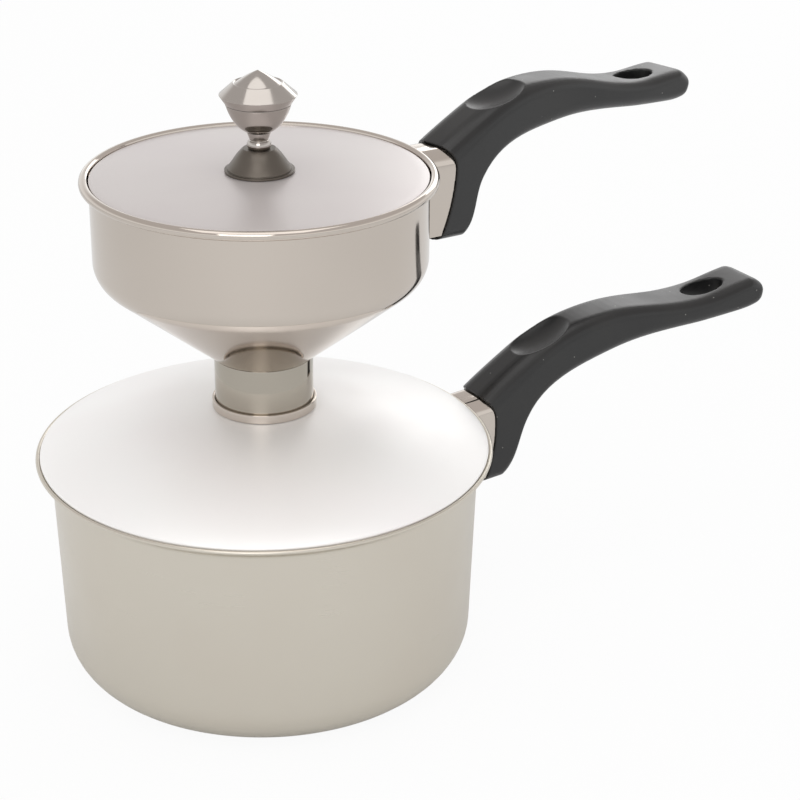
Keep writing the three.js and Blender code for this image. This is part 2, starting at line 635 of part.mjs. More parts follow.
// A skin over sections that all have the same number of points, closed at both ends.
function loft(sections) {
  const around = sections[0].length;
  const positions = sections.flat().flatMap((point) => point.toArray());
  const index = [];
  for (let s = 0; s + 1 < sections.length; s += 1) {
    for (let i = 0; i < around; i += 1) {
      const a = s * around + i;
      const b = s * around + ((i + 1) % around);
      index.push(a, b, b + around, a, b + around, a + around);
    }
  }
  const last = (sections.length - 1) * around;
  for (let i = 1; i + 1 < around; i += 1) {
    index.push(0, i + 1, i);
    index.push(last, last + i, last + i + 1);
  }
  const geometry = new THREE.BufferGeometry();
  geometry.setAttribute('position', new THREE.Float32BufferAttribute(positions, 3));
  geometry.setIndex(index);
  return solidOf(geometry);
}

// A tall prism on a plan, through the whole height of a handle.
function tallPrism(plan) {
  const depth = 2 * (FOOT_DROP + CREST_RISE);
  const prism = new THREE.ExtrudeGeometry(plan, { depth, bevelEnabled: false });
  return solidOf(prism.translate(0, 0, -depth / 2));
}

function handleSlot() {
  const half = point(SLOT_LENGTH / 2, SLOT_WIDTH / 2);
  const round = arc(0, 0, 1, 0, 2 * Math.PI, 2 * SLOT_STEPS).slice(1);
  const slot = round.map((spot) => point(SLOT_REACH + half.x * spot.x, half.y * spot.y));
  return tallPrism(new THREE.Shape(slot));
}

// An egg-shaped cutter whose lower end leaves the thumb scoop, laid along the slope of the handle's top.
function thumbScoop() {
  const [, , slopeCurve] = handleTop().curves;
  const share = (SCOOP_REACH - SHOULDER_REACH) / (CREST_REACH - SHOULDER_REACH);
  const seat = slopeCurve.getPoint(share);
  const slope = slopeCurve.getTangent(share);
  const depth = 2 * SCOOP_DEPTH;
  const spread = Math.sqrt(1 - (1 - SCOOP_DEPTH / depth) ** 2);
  const egg = new THREE.SphereGeometry(1, 4 * ARC_STEPS, 2 * ARC_STEPS);
  egg.scale(SCOOP_LENGTH / 2 / spread, SCOOP_WIDTH / 2 / spread, depth);
  egg.translate(0, 0, depth - SCOOP_DEPTH);
  egg.rotateY(-Math.atan2(slope.y, slope.x));
  return solidOf(egg.translate(seat.x, 0, seat.y));
}

// Space behind the handle's hollow end: a tight curve under the lip, a wide one down to the foot.
function endSpace(inset) {
  const steps = 2 * ARC_STEPS;
  const outline = new THREE.Shape([
    ...arc(LIP_HOLLOW - FOOT_ARC, -LIP_MIDDLE, FOOT_ARC - inset, -Math.PI / 4, 0, steps),
    ...arc(LIP_HOLLOW - LIP_ARC, -LIP_MIDDLE, LIP_ARC - inset, 0, Math.PI / 2, steps).slice(1),
    point(-FOOT_ARC, LIP_ARC - LIP_MIDDLE - inset),
    point(-FOOT_ARC, -FOOT_ARC),
  ]);
  const depth = 2 * HANDLE_TIP_WIDTH;
  const prism = new THREE.ExtrudeGeometry(outline, { depth, bevelEnabled: false });
  return solidOf(prism.rotateX(Math.PI / 2).translate(0, depth / 2, 0));
}

function handleGrip(footReach) {
  const top = handleTop().curves;
  const under = handleUnderside(footReach).curves;
  const sections = [handleSection(top[0].getPoint(0), under[0].getPoint(0))];
  top.forEach((upper, k) => {
    const steps = upper.isLineCurve ? 1 : HANDLE_STEPS;
    for (let i = 1; i <= steps; i += 1) {
      sections.push(handleSection(upper.getPoint(i / steps), under[k].getPoint(i / steps)));
    }
  });
  const screwSeat = LIP_HOLLOW + HANDLE_SCREW_SEAT;
  return loft(sections)
    .subtract(endSpace(0))
    .subtract(handleSlot())
    .subtract(thumbScoop())
    .subtract(rodAlongX(handleBore, 0, HANDLE_LENGTH / 2, screwHeight))
    .subtract(rodAlongX(HANDLE_WASHER_RADIUS + SEAT_GAP, screwSeat, HANDLE_LENGTH / 2, screwHeight));
}

// A block with round upper edges behind the handle's hollow end, made smaller by an inset.
function bracketBlock(reach, inset, floor) {
  const half = HANDLE_LIP_WIDTH / 2 - BRACKET_SET_BACK - inset;
  const top = LIP_RISE - BRACKET_SET_BACK - inset;
  const round = BRACKET_ROUND - inset;
  const section = new THREE.Shape([
    point(-half, floor),
    point(half, floor),
    ...arc(half - round, top - round, round, 0, Math.PI / 2),
    ...arc(round - half, top - round, round, Math.PI / 2, Math.PI),
  ]);
  const start = -reach - CUP_CORNER;
  const block = new THREE.ExtrudeGeometry(section, { depth: LIP_HOLLOW - start, bevelEnabled: false });
  const along = new THREE.Matrix4().makeBasis(
    new THREE.Vector3(0, 1, 0),
    new THREE.Vector3(0, 0, 1),
    new THREE.Vector3(1, 0, 0)
  );
  block.applyMatrix4(along).translate(start, 0, 0);
  return solidOf(block).intersect(endSpace(SEAT_GAP + inset));
}

// A folded steel channel, open below and towards the vessel, whose wall it follows.
function handleBracket(reach, space) {
  const floor = BRACKET_FOOT - FOOT_DROP;
  return bracketBlock(reach, 0, floor)
    .subtract(bracketBlock(reach, BRACKET_SHEET, floor - BRACKET_SHEET))
    .subtract(rodAlongX(handleBore, nutFace, HANDLE_LENGTH / 2, screwHeight))
    .subtract(space);
}

function bracketNut() {
  const hexagon = rodAlongX(NUT_RADIUS, nutFace - NUT_HEIGHT, nutFace, screwHeight, NUT_SIDES);
  const hole = rodAlongX(handleBore, nutFace - 2 * NUT_HEIGHT, nutFace + NUT_HEIGHT, screwHeight);
  return hexagon.subtract(hole);
}

function handleWasher() {
  const seat = LIP_HOLLOW + HANDLE_SCREW_SEAT + SEAT_GAP;
  const blank = rodAlongX(HANDLE_WASHER_RADIUS, seat, seat + HANDLE_WASHER, screwHeight);
  return blank.subtract(rodAlongX(handleBore, seat - HANDLE_WASHER, seat + 2 * HANDLE_WASHER, screwHeight));
}

function handleScrew() {
  const shoulder = LIP_HOLLOW + HANDLE_SCREW_SEAT + SEAT_GAP + HANDLE_WASHER + SEAT_GAP;
  const tip = nutFace - NUT_HEIGHT - NUT_RADIUS / 2;
  const shank = rodAlongX(HANDLE_SCREW_RADIUS, tip, shoulder + HANDLE_SCREW_HEAD / 2, screwHeight);
  return shank.add(rodAlongX(HANDLE_SCREW_HEAD_RADIUS, shoulder, shoulder + HANDLE_SCREW_HEAD, screwHeight));
}

// A handle on its bracket; space is the solid of the vessel that the bracket stands against.
function handleSet(vessel, wallRadius, reach, height, tilt, footReach, space) {
  const set = new THREE.Group();
  set.position.set(wallRadius + reach, 0, height);
  set.rotation.y = -tilt;
  set.updateMatrix();
  const local = set.matrix.clone().invert();
  set.add(
    piece(`${vessel}_bracket`, handleBracket(reach, space.transform(local.elements)), BRIGHT_STEEL),
    piece(`${vessel}_bracket_nut`, bracketNut(), ZINC),
    piece(`${vessel}_handle`, handleGrip(footReach), PHENOLIC),
    piece(`${vessel}_handle_washer`, handleWasher(), ZINC),
    piece(`${vessel}_handle_screw`, handleScrew(), ZINC)
  );
  return set;
}

// Assembly

const pan = new THREE.Group();
const panLip = PAN_HEIGHT - PAN_HANDLE_DROP;
pan.add(
  piece('pan_body', panBody(), SATIN_STEEL),
  piece('steam_lid', steamLid(), LID_STEEL),
  piece('steam_collar', steamCollar(), BRIGHT_STEEL),
  handleSet('pan', panRimRadius, PAN_HANDLE_REACH, panLip, PAN_HANDLE_TILT, PAN_FOOT_REACH, panSpace())
);

const steamer = new THREE.Group();
const steamerLip = cupBeadHeight + CUP_BEAD - STEAMER_HANDLE_DROP;
steamer.rotation.z = STEAMER_TURN;
steamer.add(
  piece('steamer_cup', steamerCup(), BRIGHT_STEEL),
  piece('steamer_neck', steamerNeck(), BRIGHT_STEEL),
  piece('steamer_grid', steamerGrid(), SATIN_STEEL),
  piece('grid_loop', gridLoop(), BRIGHT_STEEL),
  piece('top_lid', topLid(), LID_STEEL),
  piece('knob_base', knobBase(), SKIRT_STEEL),
  piece('knob_stem', knobStem(), KNOB_STEEL),
  piece('knob_bowl', knobBowl(), KNOB_STEEL),
  piece('knob_cap', knobCap(), KNOB_STEEL),
  piece('knob_washer', knobWasher(), ZINC),
  piece('knob_screw', knobScrew(), ZINC),
  handleSet(
    'steamer',
    CUP_RADIUS,
    STEAMER_HANDLE_REACH,
    steamerLip,
    STEAMER_HANDLE_TILT,
    STEAMER_FOOT_REACH,
    cupSpace()
  )
);

const couscousSteamer = new THREE.Group();
couscousSteamer.add(pan, steamer);

export default couscousSteamer;
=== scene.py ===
# Looks of a couscous steamer: a saucepan, a domed steam lid with a collar, a funnel-bottomed
# steamer cup standing in it, an inset lid with a turned knob, and a moulded handle on each vessel.
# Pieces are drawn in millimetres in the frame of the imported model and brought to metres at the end.

import math

import bmesh
import bpy
from mathutils import Matrix, Vector, geometry


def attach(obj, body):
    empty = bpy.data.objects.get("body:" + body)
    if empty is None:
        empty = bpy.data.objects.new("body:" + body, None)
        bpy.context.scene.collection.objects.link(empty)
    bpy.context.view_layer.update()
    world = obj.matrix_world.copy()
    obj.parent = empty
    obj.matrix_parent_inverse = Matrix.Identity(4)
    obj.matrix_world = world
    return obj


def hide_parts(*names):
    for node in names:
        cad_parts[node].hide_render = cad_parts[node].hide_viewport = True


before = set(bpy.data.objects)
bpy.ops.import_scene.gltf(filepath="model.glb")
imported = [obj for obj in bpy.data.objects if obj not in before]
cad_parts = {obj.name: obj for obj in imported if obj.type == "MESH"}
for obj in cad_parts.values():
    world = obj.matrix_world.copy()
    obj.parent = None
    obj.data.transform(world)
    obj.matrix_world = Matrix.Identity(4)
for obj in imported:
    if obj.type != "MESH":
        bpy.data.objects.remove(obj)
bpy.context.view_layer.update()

MM = 0.001

# Gaps between pieces
SEAM_GAP = 0.1
SEAT_GAP = 0.3
SCREW_CLEARANCE = 0.25

# Saucepan
PAN_HEIGHT = 89
PAN_TAPER = math.radians(1.9)
PAN_CORNER = 18
PAN_WALL = 0.9
PAN_BASE = 2
PAN_BEAD = 0.75
PAN_FLARE = 4
PAN_FLARE_REACH = 4.75
PAN_BEND = 1.5  # length over which the wall bends into the flared mouth

# Steam lid and its collar
STEAM_LID_RADIUS = 85.4
STEAM_LID_INSET = 1.75
STEAM_LID_SHEET = 0.8
STEAM_LID_HEM = 0.9
HEM_SINK = 0.28  # how far the hem sinks into its clearance over the flared mouth
STEAM_LID_DOME = 217.6
COLLAR_HEIGHT = 3.4
COLLAR_WALL = 0.8
COLLAR_CLEARANCE = 0.4
COLLAR_SEAM = 0.12  # what shows of that clearance, under the collar's rounded brim
COLLAR_LAND = 0.8
NECK_LEDGE = 2

# Steamer cup and neck
STEAMER_TURN = math.radians(12)
NECK_RADIUS = 18.6
NECK_WALL = 0.8
NECK_LENGTH = 20.5
FUNNEL_SLOPE = math.radians(38.7)
CUP_RADIUS = 61.7
CUP_WALL = 0.8
CUP_CORNER = 10.5
CUP_SIDE = 29.5
CUP_BEAD = 1.75
CUP_FLARE = 4

# Perforated plate and its lifting loop
GRID_RADIUS = 44
GRID_SHEET = 1
GRID_HOLE = 1.7
GRID_RING_STEP = 9.5
GRID_RINGS = 4
HOLES_PER_RING_STEP = 6
LOOP_WIRE = 1
LOOP_RADIUS = 6
LOOP_LEG = 5

# Inset lid of the steamer
TOP_LID_RADIUS = 61.6
TOP_LID_SHEET = 0.8
TOP_LID_DOME = 1330

# Turned knob, from the lid upwards
KNOB_FLANGE_RADIUS = 12.8
KNOB_FLANGE = 1.3
KNOB_FLANGE_STEP = 0.5
KNOB_SKIRT_RADIUS = 11.8
KNOB_SKIRT_TOP_RADIUS = 6
KNOB_SKIRT_HEIGHT = 8.6
KNOB_SKIRT_FOOT_SLOPE = math.radians(130)
KNOB_SKIRT_TOP_SLOPE = math.radians(140)
KNOB_STEM_RADIUS = 4.45
KNOB_GROOVE_RADIUS = 3.1
KNOB_GROOVE = 0.45
KNOB_BEAD_HEIGHT = 2.7
KNOB_BEAD_EDGE = 4  # radius of the lower bead where it meets the skirt and the groove
KNOB_FLARE_RADIUS = 3.4  # foot of the flared upper bead
KNOB_STEM_HEIGHT = 6
KNOB_BOWL_RADIUS = 12
KNOB_BOWL_HEIGHT = 10.4
KNOB_BOWL_FOOT_SLOPE = math.radians(25)
KNOB_BOWL_TOP_SLOPE = math.radians(72)
KNOB_EDGE_RADIUS = 14.1
KNOB_EDGE_HEIGHT = 3.1
KNOB_CROWN_RADIUS = 8.4
KNOB_SHOULDER_HEIGHT = 4.6
KNOB_CROWN_HEIGHT = 4.3
KNOB_CROWN_SLOPE = math.radians(146)
KNOB_TIP_SLOPE = math.radians(158)
KNOB_CROWN_GROOVE = 0.5
KNOB_LIP = 0.9  # length of the shoulder that rounds over into the groove
KNOB_LIP_DROP = 0.2
KNOB_SOFT_EDGE = 0.12  # rounding of the edges of the knob, its washer and its screw
KNOB_SCREW_RADIUS = 2
KNOB_SCREW_GRIP = 5.5
KNOB_HEAD_RADIUS = 4
KNOB_HEAD = 2.4
KNOB_WASHER_RADIUS = 6
KNOB_WASHER = 1

# Long handles, alike but for the foot: X runs out from the lip, Z up from below it
PAN_HANDLE_REACH = 14.8
PAN_HANDLE_DROP = 0.5
PAN_HANDLE_TILT = math.radians(3.6)
PAN_FOOT_REACH = 5.8
STEAMER_HANDLE_REACH = 27
STEAMER_HANDLE_DROP = 8.7
STEAMER_HANDLE_TILT = math.radians(-4.7)
STEAMER_FOOT_REACH = 10.3
HANDLE_LENGTH = 141.4
HANDLE_LIP_WIDTH = 22
HANDLE_WAIST_WIDTH = 20.4
HANDLE_TIP_WIDTH = 24
HANDLE_TIP_CORNER = 4
HANDLE_LIP_EDGE = 7.5
HANDLE_GRIP_EDGE = 4.6
HANDLE_LOWER_EDGE = 4.5
EDGE_SHARE = 0.8
LIP_RISE = 1.3
LIP_SLOPE = math.radians(32)
SHOULDER = Vector((21.5, 14.2))
SHOULDER_SLOPE = math.radians(26.5)
CREST = Vector((61.2, 22))
CREST_THICKNESS = 17.6
CREST_UNDER_SLOPE = math.radians(9)
WAIST = Vector((107, 16.3))
WAIST_THICKNESS = 10.8
WAIST_SLOPE = math.radians(-2)
TIP_RISE = 18.3
TIP_THICKNESS = 13
TIP_SLOPE = math.radians(3)
NOSE_TOP_SLOPE = math.radians(-15)
NOSE_UNDER_SLOPE = math.radians(80)
TIP_NOSE = 6
TIP_KEEL = 16.5
NOSE_FLAT = 1.5
LEG = Vector((17.4, -15.5))
LEG_SLOPE = math.radians(61)
FOOT_SLOPE = math.radians(30)
FOOT_DROP = 36
LIP_ARC = 13
FOOT_ARC = 60
LIP_MIDDLE = 8.7
LIP_HOLLOW = 2.5
LIP_OVERRUN = 8
SLOT_REACH = 115.5
SLOT_LENGTH = 21
SLOT_WIDTH = 12
SCOOP_REACH = 31
SCOOP_LENGTH = 31
SCOOP_WIDTH = 22
SCOOP_DEPTH = 4.2

# Steel bracket that carries a handle, with its screw
BRACKET_SET_BACK = 0.8
BRACKET_FOOT = 2.5
BRACKET_SHEET = 1.2
BRACKET_ROUND = 7
HANDLE_SCREW_RADIUS = 2.5
HANDLE_SCREW_HEAD_RADIUS = 4.3
HANDLE_SCREW_HEAD = 2.6
HANDLE_SCREW_SEAT = 6.5
HANDLE_WASHER_RADIUS = 5
HANDLE_WASHER = 1
NUT_RADIUS = 4.6
NUT_HEIGHT = 4
NUT_SIDES = 6
RECESS_WIDTH = 1.1  # one bar of the cross in a screw's head
RECESS_DEPTH = 1.4
FASTENER_EDGE = 0.25  # rounding of a nut's or screw's edges

# Fineness
VESSEL_STEPS = 192
KNOB_STEPS = 128
ROD_STEPS = 48
ARC_STEPS = 14
CURVE_STEPS = 16
HANDLE_STEPS = 12
CORNER_STEPS = 6
SOFT_STEPS = 4
SOFT_SHARE = 0.4  # most of an edge that one rounded corner takes up
BEVEL_STEPS = 2
CURVE_TENSION = 0.36
CUT_LENGTH = 4  # length of a drill over the thickness that it goes through
WELD_DISTANCE = 1e-4
SHARP_ANGLE = math.radians(38)
HANDLE_VOXEL = 0.4
HANDLE_SMOOTHING = 4
HANDLE_SMOOTHING_FACTOR = 0.5

# Finishes; lines, patches and grains are counted per metre
LINE_DETAIL = 3.0
LINE_ROUGHNESS = 0.6
LINE_SWEEP = 0.6  # how far the spun lines drift over a turn
LINE_STRENGTH = 0.25
CLOUD_DETAIL = 2.0
CLOUD_ROUGHNESS = 0.5
STEEL_PATCHES = 18.0
STEEL_FADE = (0.3, 0.75)  # levels of noise between which a patch fades in
POLISH_SPAN = (0.3, 1.4)  # levels of lines and smears between which the polish gets rougher
PLASTIC_COLOUR = (0.0045, 0.0046, 0.0048, 1)
PLASTIC_TINT = (0.0075, 0.0073, 0.007, 1)
PLASTIC_PATCHES = 45.0
PLASTIC_FADE = (0.35, 0.7)
PLASTIC_ROUGHNESS = (0.32, 0.4)
PLASTIC_SPECULAR = 0.6
PLASTIC_SHEEN = 0.1
PLASTIC_SHEEN_ROUGHNESS = 0.35
GRAINS = 2400.0
GRAIN_FADE = (0.2, 0.8)
GRAIN_DEPTH = 0.05
GRAIN_STRENGTH = 0.12
DUST_COLOUR = (0.2, 0.195, 0.18, 1)
DUST_CELLS = 320.0
DUST_SPREAD = 0.085
DUST_RARITY = 0.82
MIX_COLOUR_INPUTS = (0, 6, 7)  # the factor and the two colours among a mix node's sockets
MIX_COLOUR_OUTPUT = 2

# Camera, floor and light, in metres
CAMERA_DISTANCE = 0.72734  # from the upright axis, on the floor
CAMERA_HEIGHT = 0.43578
CAMERA_AZIMUTH = math.radians(27.5)
CAMERA_YAW = math.radians(4.048)
CAMERA_PITCH = math.radians(24.317)
CAMERA_ROLL = math.radians(0.45)
CAMERA_LENS = 94.5
SENSOR = 36
WHITE = (1, 1, 1, 1)
FLOOR_SIZE = 12
FLOOR_COLOUR = (0.76, 0.76, 0.76, 1)
FLOOR_ROUGHNESS = 0.9
FLOOR_GLOW = 0.93  # share of plain white that the floor shows to the camera
FLOOR_MIRROR_GLOW = 0.1  # the same share as polished metal shows it
AMBIENT = 0.88
BACKDROP_GREY = (0.66, 0.635, 0.625, 1)  # upper backdrop, as polished metal shows it
BACKDROP_FADE = (0.24, 0.48)  # rise of a ray over which the backdrop turns from white to grey
LIGHT_TARGET = Vector((0.03, 0, 0.1))

# Heights and places that follow from the sizes
FULL_TURN = 2 * math.pi
HALF_TURN = math.pi
QUARTER_TURN = math.pi / 2
BEAD_SWEEP = 1.5 * QUARTER_TURN  # from straight out to where a rolled rim meets the inside of its wall
DIAGONAL = math.sqrt(0.5)  # how far in and up that point lies from the bead's centre, per radius
hem_radius = STEAM_LID_RADIUS - STEAM_LID_HEM
pan_bead_height = PAN_HEIGHT - PAN_BEAD
pan_bead_radius = hem_radius + STEAM_LID_INSET
pan_rim_radius = pan_bead_radius - PAN_FLARE_REACH
pan_corner_centre = (
    pan_rim_radius
    - (pan_bead_height - PAN_CORNER * (1 - math.sin(PAN_TAPER))) * math.tan(PAN_TAPER)
    - PAN_CORNER * math.cos(PAN_TAPER)
)
pan_flare_foot = pan_bead_height - PAN_FLARE
pan_mouth = pan_rim_radius - PAN_FLARE * math.tan(PAN_TAPER) - PAN_WALL / math.cos(PAN_TAPER)
bead_share = PAN_BEAD * DIAGONAL
pan_flare_slope = math.atan2(PAN_FLARE + bead_share, pan_bead_radius - bead_share - pan_mouth)
hem_touch = (STEAM_LID_HEM + SEAT_GAP) / math.cos(pan_flare_slope)
hem_height = pan_flare_foot + (hem_radius - pan_mouth) * math.tan(pan_flare_slope) + hem_touch
dome_centre = hem_height + STEAM_LID_HEM - math.sqrt(STEAM_LID_DOME**2 - hem_radius**2)
collar_inside = NECK_RADIUS + COLLAR_CLEARANCE
collar_outside = collar_inside + COLLAR_WALL
land_radius = collar_outside + COLLAR_LAND
land_height = dome_centre + math.sqrt(STEAM_LID_DOME**2 - land_radius**2)
neck_foot = land_height + SEAT_GAP
funnel_foot = neck_foot + NECK_LENGTH
cup_corner_centre = CUP_RADIUS - CUP_CORNER
funnel_top_radius = cup_corner_centre + CUP_CORNER * math.sin(FUNNEL_SLOPE)
funnel_rise = (funnel_top_radius - NECK_RADIUS) * math.tan(FUNNEL_SLOPE)
cup_corner_height = funnel_foot + funnel_rise + CUP_CORNER * math.cos(FUNNEL_SLOPE)
cup_bead_height = cup_corner_height + CUP_SIDE
cup_bead_radius = CUP_RADIUS + CUP_BEAD
cup_inside = CUP_RADIUS - CUP_WALL
funnel_inside = NECK_RADIUS - CUP_WALL / math.sin(FUNNEL_SLOPE)
grid_seat = GRID_RADIUS + SEAT_GAP / math.sin(FUNNEL_SLOPE) - funnel_inside
grid_height = funnel_foot + grid_seat * math.tan(FUNNEL_SLOPE)
mouth_top_radius = cup_bead_radius - CUP_BEAD * DIAGONAL
mouth_top_height = cup_bead_height + CUP_BEAD * DIAGONAL
mouth_foot_height = cup_bead_height - CUP_FLARE
mouth_lean = (mouth_top_height - mouth_foot_height) / (mouth_top_radius - cup_inside)
top_lid_edge = mouth_foot_height + (TOP_LID_RADIUS + SEAT_GAP - cup_inside) * mouth_lean
top_dome_centre = top_lid_edge + TOP_LID_SHEET - math.sqrt(TOP_LID_DOME**2 - TOP_LID_RADIUS**2)
knob_foot = top_dome_centre + TOP_LID_DOME + SEAM_GAP
skirt_top = knob_foot + KNOB_SKIRT_HEIGHT
stem_foot = skirt_top + SEAM_GAP
bowl_foot = stem_foot + KNOB_STEM_HEIGHT + SEAM_GAP
cap_foot = bowl_foot + KNOB_BOWL_HEIGHT + SEAM_GAP
knob_bore = KNOB_SCREW_RADIUS + SCREW_CLEARANCE
lip_edge_x = LIP_HOLLOW - LIP_ARC + math.sqrt(LIP_ARC**2 - (LIP_RISE + LIP_MIDDLE) ** 2)
screw_height = -FOOT_DROP / 2
nut_wall = FOOT_ARC - SEAT_GAP - BRACKET_SHEET
nut_drop = NUT_RADIUS - screw_height - LIP_MIDDLE
nut_face = LIP_HOLLOW - FOOT_ARC + math.sqrt(nut_wall**2 - nut_drop**2) - SEAT_GAP
handle_bore = HANDLE_SCREW_RADIUS + SCREW_CLEARANCE
screw_seat = LIP_HOLLOW + HANDLE_SCREW_SEAT
ALONG_X = Matrix.Rotation(QUARTER_TURN, 4, "Y")  # lays a shape that stands along Z along X
STEAMER_PLACE = Matrix.Rotation(STEAMER_TURN, 4, "Z")
CORNERS = ((1, 1), (-1, 1), (-1, -1), (1, -1))  # side and end of an oblong's corners, in turn


# Outlines

def arc(x, y, radius, start, end, steps=ARC_STEPS):
    """Points along an arc."""
    angles = [start + (end - start) * i / steps for i in range(steps + 1)]
    return [Vector((x + radius * math.cos(a), y + radius * math.sin(a))) for a in angles]


def curve(start, leaving, end, reaching, steps=CURVE_STEPS):
    """Points along a curve that leaves one point and reaches another in the given directions."""
    start, end = Vector(start), Vector(end)
    tangent = CURVE_TENSION * (end - start).length
    first = start + tangent * Vector((math.cos(leaving), math.sin(leaving)))
    second = end - tangent * Vector((math.cos(reaching), math.sin(reaching)))
    handles = [point.to_3d() for point in (start, first, second, end)]
    points = geometry.interpolate_bezier(*handles, steps + 1)
    return [point.to_2d() for point in points]


def softened(points, size):
    """A closed outline whose sharp corners are rounded."""
    outline = []
    for i, corner in enumerate(points):
        before = points[i - 1] - corner
        after = points[(i + 1) % len(points)] - corner
        on_axis = corner.x < WELD_DISTANCE
        if on_axis or HALF_TURN - before.angle(after) < SHARP_ANGLE:
            outline.append(corner)
            continue
        reach = min(size, SOFT_SHARE * before.length, SOFT_SHARE * after.length)
        start = corner + reach * before.normalized()
        end = corner + reach * after.normalized()
        for step in range(SOFT_STEPS + 1):
            share = step / SOFT_STEPS
            outline.append(start.lerp(corner, share).lerp(corner.lerp(end, share), share))
    return outline


# Meshes

def turned(profile, steps):
    """A profile of radius and height, spun about the upright axis."""
    bm = bmesh.new()
    verts = [bm.verts.new((point.x, 0, point.y)) for point in profile]
    edges = [bm.edges.new(pair) for pair in zip(verts, verts[1:])]
    if profile[0].x > WELD_DISTANCE:
        edges.append(bm.edges.new((verts[-1], verts[0])))
    bmesh.ops.spin(
        bm,
        geom=verts + edges,
        cent=(0, 0, 0),
        axis=(0, 0, 1),
        angle=FULL_TURN,
        steps=steps,
        use_merge=True,
    )
    bmesh.ops.remove_doubles(bm, verts=bm.verts, dist=WELD_DISTANCE)
    bmesh.ops.dissolve_degenerate(bm, edges=bm.edges, dist=WELD_DISTANCE)
    bmesh.ops.recalc_face_normals(bm, faces=bm.faces)
    return bm


def ring_profile(inside, outside, bottom, top):
    """An oblong between two radii and two heights."""
    corners = [(inside, bottom), (outside, bottom), (outside, top), (inside, top)]
    return [Vector(corner) for corner in corners]


def add_cylinder(bm, radius, depth, steps, matrix):
    bmesh.ops.create_cone(
        bm, cap_ends=True, segments=steps, radius1=radius, radius2=radius, depth=depth, matrix=matrix
    )


def rod(radius, start, end, height, steps=ROD_STEPS):
    """A round rod along X, at a height."""
    bm = bmesh.new()
    spot = Matrix.Translation(((start + end) / 2, 0, height)) @ ALONG_X
    add_cylinder(bm, radius, end - start, steps, spot)
    return bm


def verts_of(geom):
    return [item for item in geom if isinstance(item, bmesh.types.BMVert)]


def drawn_out(bm, ring, vec):
    """Draws a ring of edges out along a vector; gives the vertices and edges of its far end."""
    verts = verts_of(bmesh.ops.extrude_edge_only(bm, edges=ring)["geom"])
    bmesh.ops.translate(bm, verts=verts, vec=vec)
    return verts, [edge for edge in bm.edges if all(vert in verts for vert in edge.verts)]


def mesh_object(name, bm):
    """A new object from a bmesh, which it uses up."""
    mesh = bpy.data.meshes.new(name)
    bm.to_mesh(mesh)
    bm.free()
    made = bpy.data.objects.new(name, mesh)
    bpy.context.scene.collection.objects.link(made)
    return made


def apply_modifiers(made):
    """Replaces a mesh by what its modifiers make of it."""
    graph = bpy.context.evaluated_depsgraph_get()
    mesh = bpy.data.meshes.new_from_object(made.evaluated_get(graph))
    old = made.data
    made.modifiers.clear()
    made.data = mesh
    bpy.data.meshes.remove(old)


def carve(made, bm, operation="DIFFERENCE"):
    """Cuts, or keeps only, what a second solid covers."""
    cutter = mesh_object("cutter", bm)
    boolean = made.modifiers.new("carve", "BOOLEAN")
    boolean.operation = operation
    boolean.solver = "EXACT"
    boolean.object = cutter
    apply_modifiers(made)
    bpy.data.meshes.remove(cutter.data)


def soften_edges(made, width):
    bevel = made.modifiers.new("soft edges", "BEVEL")
    bevel.width = width
    bevel.segments = BEVEL_STEPS
    bevel.limit_method = "ANGLE"
    bevel.angle_limit = SHARP_ANGLE
    apply_modifiers(made)


def place(made, matrix, body, node, material):
    """Brings a finished piece to its place in metres, ties it to its body and hides the imported node
    that it stands for.
    """
    made.data.transform(Matrix.Scale(MM, 4) @ matrix)
    made.data.materials.clear()
    made.data.materials.append(material)
    made.data.shade_smooth()
    made.data.set_sharp_from_angle(angle=SHARP_ANGLE)
    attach(made, body)
    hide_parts(node)


# Node helpers

def add_node(tree, kind, **settings):
    made = tree.nodes.new(kind)
    for name, value in settings.items():
        setattr(made, name, value)
    return made


def set_socket(tree, socket, value):
    """Links an input to another node's output, or gives it a plain value."""
    if isinstance(value, bpy.types.NodeSocket):
        tree.links.new(value, socket)
    else:
        socket.default_value = value


def feed(tree, made, **inputs):
    """Sets or links a node's inputs; a name's underscores stand for spaces."""
    for name, value in inputs.items():
        set_socket(tree, made.inputs[name.replace("_", " ")], value)
    return made


def math_node(tree, operation, first, second=0.0):
    made = add_node(tree, "ShaderNodeMath", operation=operation)
    for socket, value in zip(made.inputs, (first, second)):
        set_socket(tree, socket, value)
    return made.outputs[0]


def map_range(tree, value, low, high, to_low=0.0, to_high=1.0, interpolation="LINEAR"):
    made = add_node(tree, "ShaderNodeMapRange", interpolation_type=interpolation)
    feed(tree, made, Value=value, From_Min=low, From_Max=high, To_Min=to_low, To_Max=to_high)
    return made.outputs["Result"]


def mix_colour(tree, factor, first, second):
    made = add_node(tree, "ShaderNodeMix", data_type="RGBA")
    for index, value in zip(MIX_COLOUR_INPUTS, (factor, first, second)):
        set_socket(tree, made.inputs[index], value)
    return made.outputs[MIX_COLOUR_OUTPUT]


def mix_shaders(tree, factor, first, second, output):
    """Blends two shaders and sends the blend to an output node."""
    mix = add_node(tree, "ShaderNodeMixShader")
    for socket, value in zip(mix.inputs, (factor, first.outputs[0], second.outputs[0])):
        tree.links.new(value, socket)
    tree.links.new(mix.outputs[0], tree.nodes[output].inputs["Surface"])


def separate(tree, vector):
    """The outputs X, Y and Z of a vector."""
    return feed(tree, add_node(tree, "ShaderNodeSeparateXYZ"), Vector=vector).outputs


def new_group(name, inputs, outputs):
    """An empty node group; its inputs are plain numbers."""
    group = bpy.data.node_groups.new(name, "ShaderNodeTree")
    for label in inputs:
        group.interface.new_socket(label, in_out="INPUT", socket_type="NodeSocketFloat")
    for label in outputs:
        group.interface.new_socket(label, in_out="OUTPUT", socket_type="NodeSocketFloat")
    return group, add_node(group, "NodeGroupInput"), add_node(group, "NodeGroupOutput")


